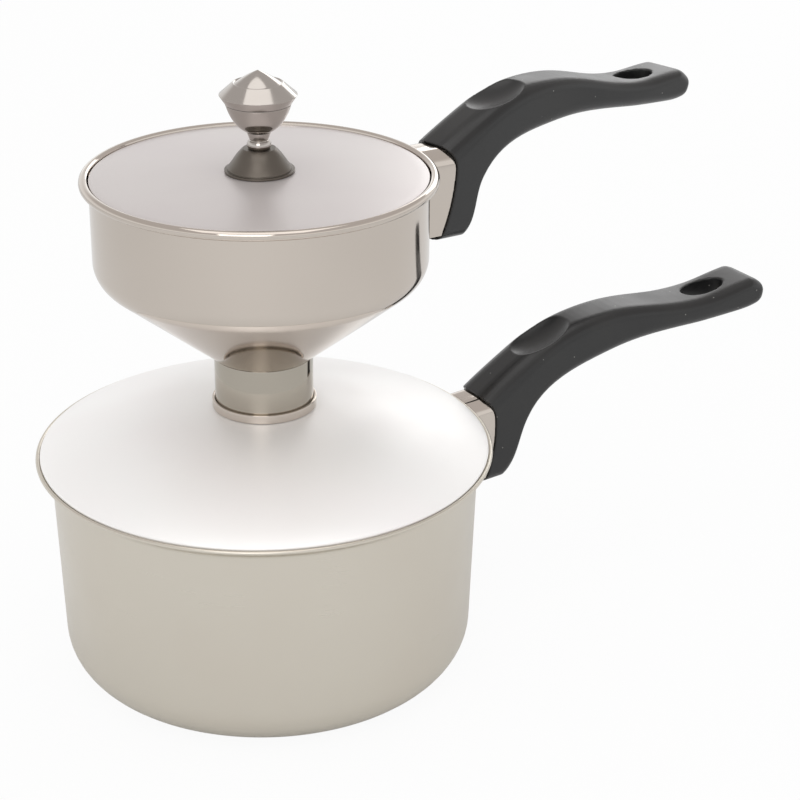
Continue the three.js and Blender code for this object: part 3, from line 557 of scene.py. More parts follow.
# Patterns that the finishes share

def spun_lines_group():
    """Fine lines round the upright axis, as polishing on a lathe leaves them."""
    group, given, out = new_group("spun lines", ["Lines", "Sweep"], ["Lines"])
    spot = separate(group, add_node(group, "ShaderNodeTexCoord").outputs["Object"])
    flat = add_node(group, "ShaderNodeCombineXYZ")
    feed(group, flat, X=spot["X"], Y=spot["Y"])
    radius = add_node(group, "ShaderNodeVectorMath", operation="LENGTH")
    feed(group, radius, Vector=flat.outputs["Vector"])
    along = math_node(group, "MULTIPLY", radius.outputs["Value"], given.outputs["Lines"])
    up = math_node(group, "MULTIPLY", spot["Z"], given.outputs["Lines"])
    turn = math_node(group, "ARCTAN2", spot["Y"], spot["X"])
    sweep = math_node(group, "MULTIPLY", math_node(group, "COSINE", turn), given.outputs["Sweep"])
    grain = add_node(group, "ShaderNodeCombineXYZ")
    feed(group, grain, X=along, Y=up, Z=sweep)
    noise = add_node(group, "ShaderNodeTexNoise")
    feed(group, noise, Vector=grain.outputs["Vector"], Scale=1.0)
    feed(group, noise, Detail=LINE_DETAIL, Roughness=LINE_ROUGHNESS)
    group.links.new(noise.outputs["Fac"], out.inputs["Lines"])
    return group


def cloud_group():
    """Soft cloudy patches."""
    group, given, out = new_group("clouds", ["Fineness", "Low", "High"], ["Mask"])
    fineness, low, high = [given.outputs[label] for label in ("Fineness", "Low", "High")]
    spot = add_node(group, "ShaderNodeTexCoord").outputs["Object"]
    noise = add_node(group, "ShaderNodeTexNoise")
    feed(group, noise, Vector=spot, Scale=fineness, Detail=CLOUD_DETAIL, Roughness=CLOUD_ROUGHNESS)
    patches = map_range(group, noise.outputs["Fac"], low, high, interpolation="SMOOTHSTEP")
    group.links.new(patches, out.inputs["Mask"])
    return group


def speck_group():
    """A few small light specks of dust."""
    group, given, out = new_group("specks", ["Fineness", "Spread", "Rarity"], ["Mask"])
    spot = add_node(group, "ShaderNodeTexCoord").outputs["Object"]
    cells = add_node(group, "ShaderNodeTexVoronoi")
    feed(group, cells, Vector=spot, Scale=given.outputs["Fineness"])
    colour = add_node(group, "ShaderNodeSeparateColor")
    feed(group, colour, Color=cells.outputs["Color"])
    dot = math_node(group, "LESS_THAN", cells.outputs["Distance"], given.outputs["Spread"])
    rare = math_node(group, "GREATER_THAN", colour.outputs["Red"], given.outputs["Rarity"])
    group.links.new(math_node(group, "MULTIPLY", dot, rare), out.inputs["Mask"])
    return group


SPUN_LINES = spun_lines_group()
CLOUDS = cloud_group()
SPECKS = speck_group()


# Finishes

def use_group(tree, group, **inputs):
    made = add_node(tree, "ShaderNodeGroup", node_tree=group)
    feed(tree, made, **inputs)
    return made.outputs[0]


def new_material(name):
    material = bpy.data.materials.new(name)
    material.use_nodes = True
    tree = material.node_tree
    return material, tree, tree.nodes["Principled BSDF"]


def bumped(tree, height, distance, strength):
    bump = add_node(tree, "ShaderNodeBump")
    feed(tree, bump, Height=height, Distance=distance, Strength=strength)
    return bump.outputs["Normal"]


def steel(name, colour, tint, roughness, lines, line_depth, patches=STEEL_PATCHES, metallic=1.0):
    """Steel with fine spun lines, a cloudy tint and a slightly uneven polish."""
    material, tree, shader = new_material(name)
    low, high = STEEL_FADE
    clouds = use_group(tree, CLOUDS, Fineness=patches, Low=low, High=high)
    smears = use_group(tree, CLOUDS, Fineness=2 * patches, Low=low, High=high)
    grain = use_group(tree, SPUN_LINES, Lines=lines, Sweep=LINE_SWEEP)
    wear = math_node(tree, "ADD", grain, smears)
    shader.inputs["Metallic"].default_value = metallic
    feed(
        tree,
        shader,
        Base_Color=mix_colour(tree, clouds, (*colour, 1), (*tint, 1)),
        Roughness=map_range(tree, wear, *POLISH_SPAN, *roughness),
        Normal=bumped(tree, grain, line_depth * MM, LINE_STRENGTH),
    )
    return material


def moulded_plastic():
    """Dark moulded plastic with a fine matt grain and a little dust."""
    material, tree, shader = new_material("moulded plastic")
    low, high = PLASTIC_FADE
    clouds = use_group(tree, CLOUDS, Fineness=PLASTIC_PATCHES, Low=low, High=high)
    low, high = GRAIN_FADE
    grain = use_group(tree, CLOUDS, Fineness=GRAINS, Low=low, High=high)
    dust = use_group(tree, SPECKS, Fineness=DUST_CELLS, Spread=DUST_SPREAD, Rarity=DUST_RARITY)
    body = mix_colour(tree, clouds, PLASTIC_COLOUR, PLASTIC_TINT)
    shader.inputs["Specular IOR Level"].default_value = PLASTIC_SPECULAR
    shader.inputs["Sheen Weight"].default_value = PLASTIC_SHEEN
    shader.inputs["Sheen Roughness"].default_value = PLASTIC_SHEEN_ROUGHNESS
    feed(
        tree,
        shader,
        Base_Color=mix_colour(tree, dust, body, DUST_COLOUR),
        Roughness=map_range(tree, clouds, 0.0, 1.0, *PLASTIC_ROUGHNESS),
        Normal=bumped(tree, grain, GRAIN_DEPTH * MM, GRAIN_STRENGTH),
    )
    return material


SATIN_STEEL = steel(
    "satin steel",
    colour=(0.67, 0.629, 0.553),
    tint=(0.66, 0.614, 0.538),
    roughness=(0.27, 0.33),
    lines=2600.0,
    line_depth=0.0015,
)
BRIGHT_STEEL = steel(
    "bright steel",
    colour=(0.61, 0.553, 0.498),
    tint=(0.59, 0.533, 0.478),
    roughness=(0.05, 0.09),
    lines=4200.0,
    line_depth=0.0006,
)
# The neck's steel is the bright steel made darker: painted shade for the neck under the overhanging
# funnel.
SHADED_NECK_STEEL = steel(
    "neck steel with painted shade",
    colour=(0.445, 0.41, 0.355),
    tint=(0.415, 0.38, 0.325),
    roughness=(0.05, 0.09),
    lines=4200.0,
    line_depth=0.0006,
)
# The steam lid's steel is nearly white and partly non-metallic: a painted reflection of the bright
# backdrop, which makes the lid look white.
LID_STEEL = steel(
    "lid steel",
    colour=(0.955, 0.948, 0.936),
    tint=(0.955, 0.933, 0.926),
    roughness=(0.40, 0.48),
    lines=9000.0,
    line_depth=0.0002,
    metallic=0.4,
)
TOP_LID_STEEL = steel(
    "inset lid steel",
    colour=(0.6, 0.562, 0.547),
    tint=(0.58, 0.535, 0.528),
    roughness=(0.30, 0.31),
    lines=9000.0,
    line_depth=0.0001,
    metallic=0.45,
)
KNOB_STEEL = steel(
    "knob steel",
    colour=(0.51, 0.477, 0.445),
    tint=(0.48, 0.447, 0.415),
    roughness=(0.10, 0.15),
    lines=5200.0,
    line_depth=0.0004,
    patches=60.0,
)
# The skirt's steel is a darker, rougher copy of the knob steel: painted shade for the skirt under the
# overhanging bowl.
SHADED_SKIRT_STEEL = steel(
    "skirt steel with painted shade",
    colour=(0.16, 0.142, 0.122),
    tint=(0.145, 0.128, 0.11),
    roughness=(0.30, 0.36),
    lines=5200.0,
    line_depth=0.001,
    patches=60.0,
)
ZINC = steel(
    "zinc plate",
    colour=(0.55, 0.56, 0.57),
    tint=(0.46, 0.47, 0.47),
    roughness=(0.28, 0.42),
    lines=3000.0,
    line_depth=0.004,
    patches=90.0,
)
PLASTIC = moulded_plastic()


# Saucepan

def pan_side(offset, top):
    """Corner and wall from below, moved out by an offset."""
    lean = (pan_bead_height - top) * math.tan(PAN_TAPER)
    corner = arc(pan_corner_centre, PAN_CORNER, PAN_CORNER + offset, -QUARTER_TURN, -PAN_TAPER)
    return [*corner, Vector((pan_rim_radius - lean + offset / math.cos(PAN_TAPER), top))]


def pan_flare(offset, edge):
    """Corner and wall from below, bent out at the mouth towards a point of the rolled rim."""
    foot = pan_side(offset, pan_flare_foot)[-1]
    wall = pan_side(offset, pan_flare_foot - PAN_BEND)
    out = (edge - foot).normalized()
    bend = curve(wall[-1], QUARTER_TURN - PAN_TAPER, foot + PAN_BEND * out, math.atan2(out.y, out.x))
    return [*wall, *bend[1:]]


def make_pan():
    bead = arc(pan_bead_radius, pan_bead_height, PAN_BEAD, -BEAD_SWEEP, BEAD_SWEEP)
    outside = pan_flare(0, bead[0])
    inside = pan_flare(-PAN_WALL, bead[-1])
    inside[0].y = PAN_BASE
    profile = [Vector((0, 0)), *outside, *bead, *reversed(inside), Vector((0, PAN_BASE))]
    body = mesh_object("pan_shell", turned(profile, VESSEL_STEPS))
    place(body, Matrix(), "pan", "pan_body", SATIN_STEEL)


def vessel_space(side, foot, rim_radius, rim_foot, rim_top):
    """Solid room of a vessel and of what lies on its rim, that trims a bracket."""
    rim = [Vector((rim_radius, rim_foot)), Vector((rim_radius, rim_top)), Vector((0, rim_top))]
    return [Vector((0, foot)), *side, *rim]


# Steam lid

def make_steam_lid():
    hole = NECK_RADIUS - NECK_LEDGE
    under = STEAM_LID_DOME - STEAM_LID_SHEET
    slope = math.asin(hem_radius / STEAM_LID_DOME)
    rim = math.acos((hem_radius + STEAM_LID_HEM * math.sin(slope)) / STEAM_LID_DOME)
    land = math.acos(land_radius / STEAM_LID_DOME)
    hem_inside = math.acos((hem_radius - STEAM_LID_HEM) / under)
    profile = [
        Vector((hole, land_height - STEAM_LID_SHEET)),
        *arc(0, dome_centre, under, land, hem_inside, CURVE_STEPS),
        *arc(hem_radius, hem_height - HEM_SINK, STEAM_LID_HEM, -HALF_TURN, QUARTER_TURN - slope),
        *arc(0, dome_centre, STEAM_LID_DOME, rim, land, CURVE_STEPS)[1:],
        Vector((hole, land_height)),
    ]
    lid = mesh_object("steam_lid_dome", turned(profile, VESSEL_STEPS))
    # The near-white lid steel is a painted reflection of the bright backdrop.
    place(lid, Matrix(), "steam_lid", "steam_lid", LID_STEEL)


def make_collar():
    bottom = land_height + SEAM_GAP
    profile = ring_profile(NECK_RADIUS + COLLAR_SEAM, collar_outside, bottom, bottom + COLLAR_HEIGHT)
    collar = mesh_object("collar_ring", turned(softened(profile, COLLAR_WALL / 2), VESSEL_STEPS))
    place(collar, Matrix(), "steam_lid", "steam_collar", BRIGHT_STEEL)


# Steamer cup

def cup_side(offset, top):
    """Funnel, corner and wall from below, moved out by an offset."""
    foot = Vector((NECK_RADIUS + offset / math.sin(FUNNEL_SLOPE), funnel_foot))
    turn = FUNNEL_SLOPE - QUARTER_TURN
    corner = arc(cup_corner_centre, cup_corner_height, CUP_CORNER + offset, turn, 0)
    return [foot, *corner, Vector((CUP_RADIUS + offset, top))]


def make_cup():
    bead = arc(cup_bead_radius, cup_bead_height, CUP_BEAD, -HALF_TURN, BEAD_SWEEP)
    outside = cup_side(0, cup_bead_height)
    inside = cup_side(-CUP_WALL, mouth_foot_height)
    profile = [*outside, *bead[1:], *reversed(inside)]
    cup = mesh_object("cup_shell", turned(profile, VESSEL_STEPS))
    place(cup, Matrix(), "steamer", "steamer_cup", BRIGHT_STEEL)


def make_neck():
    top = neck_foot + NECK_LENGTH - SEAM_GAP
    profile = ring_profile(NECK_RADIUS - NECK_WALL, NECK_RADIUS, neck_foot, top)
    neck = mesh_object("neck_tube", turned(softened(profile, NECK_WALL / 4), VESSEL_STEPS))
    # Darker steel on the neck: painted shade under the funnel.
    place(neck, Matrix(), "steamer", "steamer_neck", SHADED_NECK_STEEL)


# Perforated plate

def make_grid():
    outline = ring_profile(0, GRID_RADIUS, grid_height, grid_height + GRID_SHEET)
    plate = mesh_object("perforated_plate", turned(outline, VESSEL_STEPS))
    holes = bmesh.new()
    for step in range(1, GRID_RINGS + 1):
        count = HOLES_PER_RING_STEP * step
        for i in range(count):
            turn = Matrix.Rotation(FULL_TURN * i / count, 4, "Z")
            spot = turn @ Matrix.Translation((GRID_RING_STEP * step, 0, grid_height))
            add_cylinder(holes, GRID_HOLE, CUT_LENGTH * GRID_SHEET, ROD_STEPS // 2, spot)
    carve(plate, holes)
    place(plate, STEAMER_PLACE, "plate", "steamer_grid", SATIN_STEEL)


def make_loop():
    """A bent wire: a round section raised along a leg, swung over and lowered along the other."""
    bm = bmesh.new()
    foot = grid_height + GRID_SHEET + SEAM_GAP
    start = Matrix.Translation((0, -LOOP_RADIUS, foot))
    bmesh.ops.create_circle(bm, segments=ROD_STEPS // 2, radius=LOOP_WIRE, matrix=start)
    first = list(bm.edges)
    bmesh.ops.edgeloop_fill(bm, edges=first)
    leg_verts, leg_edges = drawn_out(bm, first, (0, 0, LOOP_LEG))
    bend = bmesh.ops.spin(
        bm,
        geom=leg_verts + leg_edges,
        cent=(0, 0, foot + LOOP_LEG),
        axis=(1, 0, 0),
        angle=-HALF_TURN,
        steps=2 * CURVE_STEPS,
    )["geom_last"]
    bend_edges = [item for item in bend if isinstance(item, bmesh.types.BMEdge)]
    last_edges = drawn_out(bm, bend_edges, (0, 0, -LOOP_LEG))[1]
    bmesh.ops.edgeloop_fill(bm, edges=last_edges)
    bmesh.ops.remove_doubles(bm, verts=bm.verts, dist=WELD_DISTANCE)
    bmesh.ops.recalc_face_normals(bm, faces=bm.faces)
    loop = mesh_object("lifting_loop", bm)
    place(loop, STEAMER_PLACE, "plate", "grid_loop", BRIGHT_STEEL)


# Inset lid and knob

def make_top_lid():
    under = TOP_LID_DOME - TOP_LID_SHEET
    edge = math.acos(TOP_LID_RADIUS / TOP_LID_DOME)
    hole = math.acos(knob_bore / TOP_LID_DOME)
    profile = [
        *arc(0, top_dome_centre, under, hole, edge, CURVE_STEPS),
        *arc(0, top_dome_centre, TOP_LID_DOME, edge, hole, CURVE_STEPS),
    ]
    lid = mesh_object("inset_lid", turned(softened(profile, TOP_LID_SHEET / 2), VESSEL_STEPS))
    place(lid, Matrix(), "top_lid", "top_lid", TOP_LID_STEEL)


def knob_base_profile():
    flange_top = knob_foot + KNOB_FLANGE
    skirt = curve(
        (KNOB_SKIRT_RADIUS, flange_top),
        KNOB_SKIRT_FOOT_SLOPE,
        (KNOB_SKIRT_TOP_RADIUS, skirt_top),
        KNOB_SKIRT_TOP_SLOPE,
    )
    return [
        Vector((knob_bore, knob_foot)),
        Vector((KNOB_FLANGE_RADIUS, knob_foot)),
        Vector((KNOB_FLANGE_RADIUS, flange_top - KNOB_FLANGE_STEP)),
        Vector((KNOB_SKIRT_RADIUS, flange_top - KNOB_FLANGE_STEP)),
        *skirt,
        Vector((knob_bore, skirt_top)),
    ]


def knob_stem_profile():
    """A barrel-shaped lower bead, a groove and a flared upper bead."""
    bead_top = stem_foot + KNOB_BEAD_HEIGHT
    flare_foot = bead_top + KNOB_GROOVE
    top = stem_foot + KNOB_STEM_HEIGHT
    bulge = KNOB_STEM_RADIUS - KNOB_BEAD_EDGE
    swell = [HALF_TURN * i / ARC_STEPS for i in range(ARC_STEPS + 1)]
    barrel = [
        Vector((KNOB_BEAD_EDGE + bulge * math.sin(a), stem_foot + KNOB_BEAD_HEIGHT * a / HALF_TURN))
        for a in swell
    ]
    return [
        Vector((knob_bore, stem_foot)),
        *barrel,
        Vector((KNOB_GROOVE_RADIUS, bead_top)),
        Vector((KNOB_GROOVE_RADIUS, flare_foot)),
        Vector((KNOB_FLARE_RADIUS, flare_foot)),
        Vector((KNOB_STEM_RADIUS, top)),
        Vector((knob_bore, top)),
    ]


def knob_bowl_profile():
    thread_top = bowl_foot + KNOB_SCREW_GRIP + SEAT_GAP
    top = bowl_foot + KNOB_BOWL_HEIGHT
    side = curve(
        (KNOB_STEM_RADIUS, bowl_foot), KNOB_BOWL_FOOT_SLOPE, (KNOB_BOWL_RADIUS, top), KNOB_BOWL_TOP_SLOPE
    )
    return [
        Vector((0, thread_top)),
        Vector((knob_bore, thread_top)),
        Vector((knob_bore, bowl_foot)),
        *side,
        Vector((0, top)),
    ]


def knob_cap_profile():
    edge = cap_foot + KNOB_EDGE_HEIGHT
    crown = edge + KNOB_SHOULDER_HEIGHT
    cone = curve(
        (KNOB_CROWN_RADIUS, crown - KNOB_CROWN_GROOVE),
        KNOB_CROWN_SLOPE,
        (0, crown + KNOB_CROWN_HEIGHT),
        KNOB_TIP_SLOPE,
    )
    widest = Vector((KNOB_EDGE_RADIUS, edge))
    top = Vector((KNOB_CROWN_RADIUS + KNOB_CROWN_GROOVE, crown))
    rise = top - widest
    lip = curve(
        top - KNOB_LIP * rise.normalized(),
        math.atan2(rise.y, rise.x),
        top - Vector((0, KNOB_LIP_DROP)),
        HALF_TURN,
        CORNER_STEPS,
    )
    return [
        Vector((0, cap_foot)),
        Vector((KNOB_BOWL_RADIUS, cap_foot)),
        widest,
        *lip,
        *cone,
    ]


def knob_screw_seat():
    """Height of the washer's top, under the lid."""
    washer_edge = math.sqrt((TOP_LID_DOME - TOP_LID_SHEET) ** 2 - KNOB_WASHER_RADIUS**2)
    return top_dome_centre + washer_edge - SEAM_GAP


def knob_screw_profile():
    shoulder = knob_screw_seat() - KNOB_WASHER - SEAM_GAP
    head_foot = shoulder - KNOB_HEAD
    tip = bowl_foot + KNOB_SCREW_GRIP
    head = curve((KNOB_SCREW_RADIUS, head_foot), 0, (KNOB_HEAD_RADIUS, shoulder), QUARTER_TURN)
    return [
        Vector((0, head_foot)),
        *head,
        Vector((KNOB_SCREW_RADIUS, shoulder)),
        Vector((KNOB_SCREW_RADIUS, tip)),
        Vector((0, tip)),
    ]


def make_knob():
    washer_top = knob_screw_seat()
    washer = ring_profile(knob_bore, KNOB_WASHER_RADIUS, washer_top - KNOB_WASHER, washer_top)
    pieces = [
        # The skirt gets the darkened steel: painted shade under the bowl.
        ("knob_skirt", "knob_base", knob_base_profile(), "skirt_steel", SHADED_SKIRT_STEEL),
        ("knob_beads", "knob_stem", knob_stem_profile(), "knob_steel", KNOB_STEEL),
        ("knob_cup", "knob_bowl", knob_bowl_profile(), "knob_steel", KNOB_STEEL),
        ("knob_crown", "knob_cap", knob_cap_profile(), "knob_steel", KNOB_STEEL),
        ("lid_washer", "knob_washer", washer, "zinc", ZINC),
        ("lid_screw", "knob_screw", knob_screw_profile(), "zinc", ZINC),
    ]
    for name, node, profile, slot, material in pieces:
        made = mesh_object(name, turned(softened(profile, KNOB_SOFT_EDGE), KNOB_STEPS))
        place(made, Matrix(), "top_lid", node, material)


# Handles

def handle_outlines(foot_reach):
    """Matched points along the top and the underside, from inside the bracket out to the nose."""
    lip = Vector((lip_edge_x, LIP_RISE))
    overrun = LIP_OVERRUN * Vector((math.cos(LIP_SLOPE), math.sin(LIP_SLOPE)))
    nose_top = Vector((HANDLE_LENGTH - TIP_NOSE, TIP_RISE))
    nose = Vector((HANDLE_LENGTH, TIP_RISE - TIP_NOSE))
    top = [
        (lip, LIP_SLOPE, SHOULDER, SHOULDER_SLOPE),
        (SHOULDER, SHOULDER_SLOPE, CREST, 0),
        (CREST, 0, WAIST, WAIST_SLOPE),
        (WAIST, WAIST_SLOPE, nose_top, TIP_SLOPE),
        (nose_top, NOSE_TOP_SLOPE, nose, -QUARTER_TURN),
    ]
    foot = Vector((foot_reach, -FOOT_DROP))
    crest = CREST - Vector((0, CREST_THICKNESS))
    waist = WAIST - Vector((0, WAIST_THICKNESS))
    keel = Vector((HANDLE_LENGTH - TIP_KEEL, TIP_RISE - TIP_THICKNESS))
    under = [
        (foot, FOOT_SLOPE, LEG, LEG_SLOPE),
        (LEG, LEG_SLOPE, crest, CREST_UNDER_SLOPE),
        (crest, CREST_UNDER_SLOPE, waist, WAIST_SLOPE),
        (waist, WAIST_SLOPE, keel, 0),
        (keel, 0, nose - Vector((0, NOSE_FLAT)), NOSE_UNDER_SLOPE),
    ]
    high = [lip - overrun, lip]
    low = [Vector((lip_edge_x - LIP_OVERRUN, -FOOT_DROP)), foot]
    for upper, lower in zip(top, under):
        high += curve(*upper, HANDLE_STEPS)[1:]
        low += curve(*lower, HANDLE_STEPS)[1:]
    return high, low


def smoothstep(value, low, high):
    share = min(max((value - low) / (high - low), 0), 1)
    return share * share * (3 - 2 * share)


def handle_half_width(x):
    """A slim waist, and a wider tip with round corners."""
    corner = max(0, x - HANDLE_LENGTH + HANDLE_TIP_CORNER)
    cut = HANDLE_TIP_CORNER - math.sqrt(HANDLE_TIP_CORNER**2 - corner**2)
    wider = (HANDLE_TIP_WIDTH - HANDLE_WAIST_WIDTH) * smoothstep(x, CREST.x, SLOT_REACH)
    lip = (HANDLE_LIP_WIDTH - HANDLE_WAIST_WIDTH) * (1 - smoothstep(x, 0, CREST.x))
    return (HANDLE_WAIST_WIDTH + wider + lip) / 2 - cut


def handle_section(bm, high, low):
    """A ring of edges: a rounded oblong standing between a top and a lower point."""
    height = (high - low).length / 2
    middle = (high + low) / 2
    upward = (high - low) / 2 / height
    width = handle_half_width(min(middle.x, HANDLE_LENGTH - SEAT_GAP))
    grip = smoothstep(high.x, SHOULDER.x, CREST.x)
    upper_edge = HANDLE_LIP_EDGE + (HANDLE_GRIP_EDGE - HANDLE_LIP_EDGE) * grip
    verts = []
    for corner, (side, end) in enumerate(CORNERS):
        start = corner * QUARTER_TURN
        wanted = upper_edge if end > 0 else HANDLE_LOWER_EDGE
        edge = min(wanted, EDGE_SHARE * height, EDGE_SHARE * width)
        centre = Vector((side * (width - edge), end * (height - edge)))
        for spot in arc(*centre, edge, start, start + QUARTER_TURN, CORNER_STEPS):
            along = middle + spot.y * upward
            verts.append(bm.verts.new((along.x, spot.x, along.y)))
    return [bm.edges.new((verts[i - 1], verts[i])) for i in range(len(verts))]


def handle_blank(foot_reach):
    """The handle before anything is cut from it."""
    bm = bmesh.new()
    rings = [handle_section(bm, high, low) for high, low in zip(*handle_outlines(foot_reach))]
    for first, second in zip(rings, rings[1:]):
        bmesh.ops.bridge_loops(bm, edges=first + second)
    bmesh.ops.edgeloop_fill(bm, edges=rings[0])
    bmesh.ops.edgeloop_fill(bm, edges=rings[-1])
    bmesh.ops.recalc_face_normals(bm, faces=bm.faces)
    return bm


def end_space(inset):
    """Space behind the handle's hollow end: a tight curve under the lip, a wide one to the foot."""
    outline = [
        *arc(LIP_HOLLOW - FOOT_ARC, -LIP_MIDDLE, FOOT_ARC - inset, -QUARTER_TURN / 2, 0),
        *arc(LIP_HOLLOW - LIP_ARC, -LIP_MIDDLE, LIP_ARC - inset, 0, QUARTER_TURN)[1:],
        Vector((-FOOT_ARC, LIP_ARC - LIP_MIDDLE - inset)),
        Vector((-FOOT_ARC, -FOOT_ARC)),
    ]
    bm = bmesh.new()
    end = bm.faces.new([bm.verts.new((spot.x, -HANDLE_TIP_WIDTH, spot.y)) for spot in outline])
    drawn = verts_of(bmesh.ops.extrude_face_region(bm, geom=[end])["geom"])
    bmesh.ops.translate(bm, vec=(0, 2 * HANDLE_TIP_WIDTH, 0), verts=drawn)
    bmesh.ops.recalc_face_normals(bm, faces=bm.faces)
    return bm


def hanging_slot():
    """An upright drill with the slot's outline."""
    bm = bmesh.new()
    shape = Matrix.Diagonal((SLOT_LENGTH / 2, SLOT_WIDTH / 2, 1, 1))
    spot = Matrix.Translation((SLOT_REACH, 0, 0)) @ shape
    add_cylinder(bm, 1, CUT_LENGTH * CREST.y, 2 * ROD_STEPS, spot)
    return bm


def thumb_scoop():
    """An egg laid along the slope of the handle's top, whose lower end leaves the scoop."""
    line = curve(SHOULDER, SHOULDER_SLOPE, CREST, 0, 2 * HANDLE_STEPS)
    share = (SCOOP_REACH - SHOULDER.x) / (CREST.x - SHOULDER.x)
    index = round(share * (len(line) - 1))
    seat = line[index]
    run = line[index + 1] - line[index - 1]
    depth = 2 * SCOOP_DEPTH
    spread = math.sqrt(1 - (1 - SCOOP_DEPTH / depth) ** 2)
    matrix = (
        Matrix.Translation((seat.x, 0, seat.y))
        @ Matrix.Rotation(-math.atan2(run.y, run.x), 4, "Y")
        @ Matrix.Translation((0, 0, depth - SCOOP_DEPTH))
        @ Matrix.Diagonal((SCOOP_LENGTH / 2 / spread, SCOOP_WIDTH / 2 / spread, depth, 1))
    )
    bm = bmesh.new()
    bmesh.ops.create_uvsphere(bm, u_segments=2 * ROD_STEPS, v_segments=ROD_STEPS, radius=1, matrix=matrix)
    return bm


def handle_grip(name, foot_reach):
    grip = mesh_object(name, handle_blank(foot_reach))
    carve(grip, end_space(0))
    carve(grip, hanging_slot())
    carve(grip, thumb_scoop())
    carve(grip, rod(handle_bore, 0, HANDLE_LENGTH / 2, screw_height))
    carve(grip, rod(HANDLE_WASHER_RADIUS + SEAT_GAP, screw_seat, HANDLE_LENGTH / 2, screw_height))
    remesh = grip.modifiers.new("even mesh", "REMESH")
    remesh.mode = "VOXEL"
    remesh.voxel_size = HANDLE_VOXEL
    smooth = grip.modifiers.new("moulded edges", "SMOOTH")
    smooth.factor = HANDLE_SMOOTHING_FACTOR
    smooth.iterations = HANDLE_SMOOTHING
    apply_modifiers(grip)
    return grip


def bracket_block(reach, inset, floor):
    """A block with round upper edges behind the handle's hollow end, made smaller by an inset."""
    half = HANDLE_LIP_WIDTH / 2 - BRACKET_SET_BACK - inset
    top = LIP_RISE - BRACKET_SET_BACK - inset
    start = -reach - CUP_CORNER  # well inside the vessel, whose space then trims it
    bm = bmesh.new()
    bmesh.ops.create_cube(bm, size=1)
    bmesh.ops.scale(bm, vec=(LIP_HOLLOW - start, 2 * half, top - floor), verts=bm.verts)
    bmesh.ops.translate(bm, vec=((LIP_HOLLOW + start) / 2, 0, (top + floor) / 2), verts=bm.verts)
    upper = []
    for edge in bm.edges:
        first, second = edge.verts
        along = abs(first.co.y - second.co.y) < WELD_DISTANCE
        high = min(first.co.z, second.co.z) > top - WELD_DISTANCE
        if along and high:
            upper.append(edge)
    bmesh.ops.bevel(
        bm,
        geom=upper,
        offset=BRACKET_ROUND - inset,
        offset_type="OFFSET",
        affect="EDGES",
        segments=ARC_STEPS,
        profile=0.5,
        material=-1,
    )
    return bm


def handle_bracket(name, reach, space):
    """A folded steel channel, open below and towards the vessel, whose wall it follows."""
    floor = BRACKET_FOOT - FOOT_DROP
    bracket = mesh_object(name, bracket_block(reach, 0, floor))
    carve(bracket, end_space(SEAT_GAP), "INTERSECT")
    hollow = mesh_object("hollow", bracket_block(reach, BRACKET_SHEET, floor - BRACKET_SHEET))
    carve(hollow, end_space(SEAT_GAP + BRACKET_SHEET), "INTERSECT")
    inside = bmesh.new()
    inside.from_mesh(hollow.data)
    bpy.data.meshes.remove(hollow.data)
    carve(bracket, inside)
    carve(bracket, rod(handle_bore, nut_face, HANDLE_LENGTH / 2, screw_height))
    carve(bracket, space)
    return bracket


def bracket_nut(name):
    nut = mesh_object(name, rod(NUT_RADIUS, nut_face - NUT_HEIGHT, nut_face, screw_height, NUT_SIDES))
    carve(nut, rod(handle_bore, nut_face - 2 * NUT_HEIGHT, nut_face + NUT_HEIGHT, screw_height))
    soften_edges(nut, FASTENER_EDGE)
    return nut


def handle_washer(name):
    seat = screw_seat + SEAT_GAP
    washer = mesh_object(name, rod(HANDLE_WASHER_RADIUS, seat, seat + HANDLE_WASHER, screw_height))
    carve(washer, rod(handle_bore, seat - HANDLE_WASHER, seat + 2 * HANDLE_WASHER, screw_height))
    soften_edges(washer, FASTENER_EDGE / 2)
    return washer


def handle_screw(name):
    """A pan-head screw along X with a cross recess."""
    shoulder = screw_seat + SEAT_GAP + HANDLE_WASHER + SEAT_GAP
    top = shoulder + HANDLE_SCREW_HEAD
    tip = nut_face - NUT_HEIGHT - NUT_RADIUS / 2
    crown = curve((HANDLE_SCREW_HEAD_RADIUS, shoulder), QUARTER_TURN, (0, top), HALF_TURN)
    profile = [
        Vector((0, tip)),
        Vector((HANDLE_SCREW_RADIUS, tip)),
        Vector((HANDLE_SCREW_RADIUS, shoulder)),
        *crown,
    ]
    screw = mesh_object(name, turned(softened(profile, FASTENER_EDGE), ROD_STEPS))
    for size in ((HANDLE_SCREW_HEAD_RADIUS, RECESS_WIDTH), (RECESS_WIDTH, HANDLE_SCREW_HEAD_RADIUS)):
        bar = bmesh.new()
        spot = Matrix.Translation((0, 0, top)) @ Matrix.Diagonal((*size, 2 * RECESS_DEPTH, 1))
        bmesh.ops.create_cube(bar, size=1, matrix=spot)
        carve(screw, bar)
    screw.data.transform(Matrix.Translation((0, 0, screw_height)) @ ALONG_X)
    return screw


def make_handle_set(vessel, body, wall_radius, reach, height, tilt, foot_reach, turn, space):
    """A handle on its bracket; space is the profile of the vessel that the bracket stands against."""
    local = Matrix.Translation((wall_radius + reach, 0, height)) @ Matrix.Rotation(-tilt, 4, "Y")
    room = turned(space, VESSEL_STEPS)
    room.transform(local.inverted())
    world = Matrix.Rotation(turn, 4, "Z") @ local
    pieces = [
        ("bracket", handle_bracket(f"{vessel}_channel", reach, room), "bright_steel", BRIGHT_STEEL),
        ("bracket_nut", bracket_nut(f"{vessel}_nut"), "zinc", ZINC),
        ("handle", handle_grip(f"{vessel}_grip", foot_reach), "phenolic", PLASTIC),
        ("handle_washer", handle_washer(f"{vessel}_washer"), "zinc", ZINC),
        ("handle_screw", handle_screw(f"{vessel}_screw"), "zinc", ZINC),
    ]
    for node, made, slot, material in pieces:
        place(made, world, body, f"{vessel}_{node}", material)


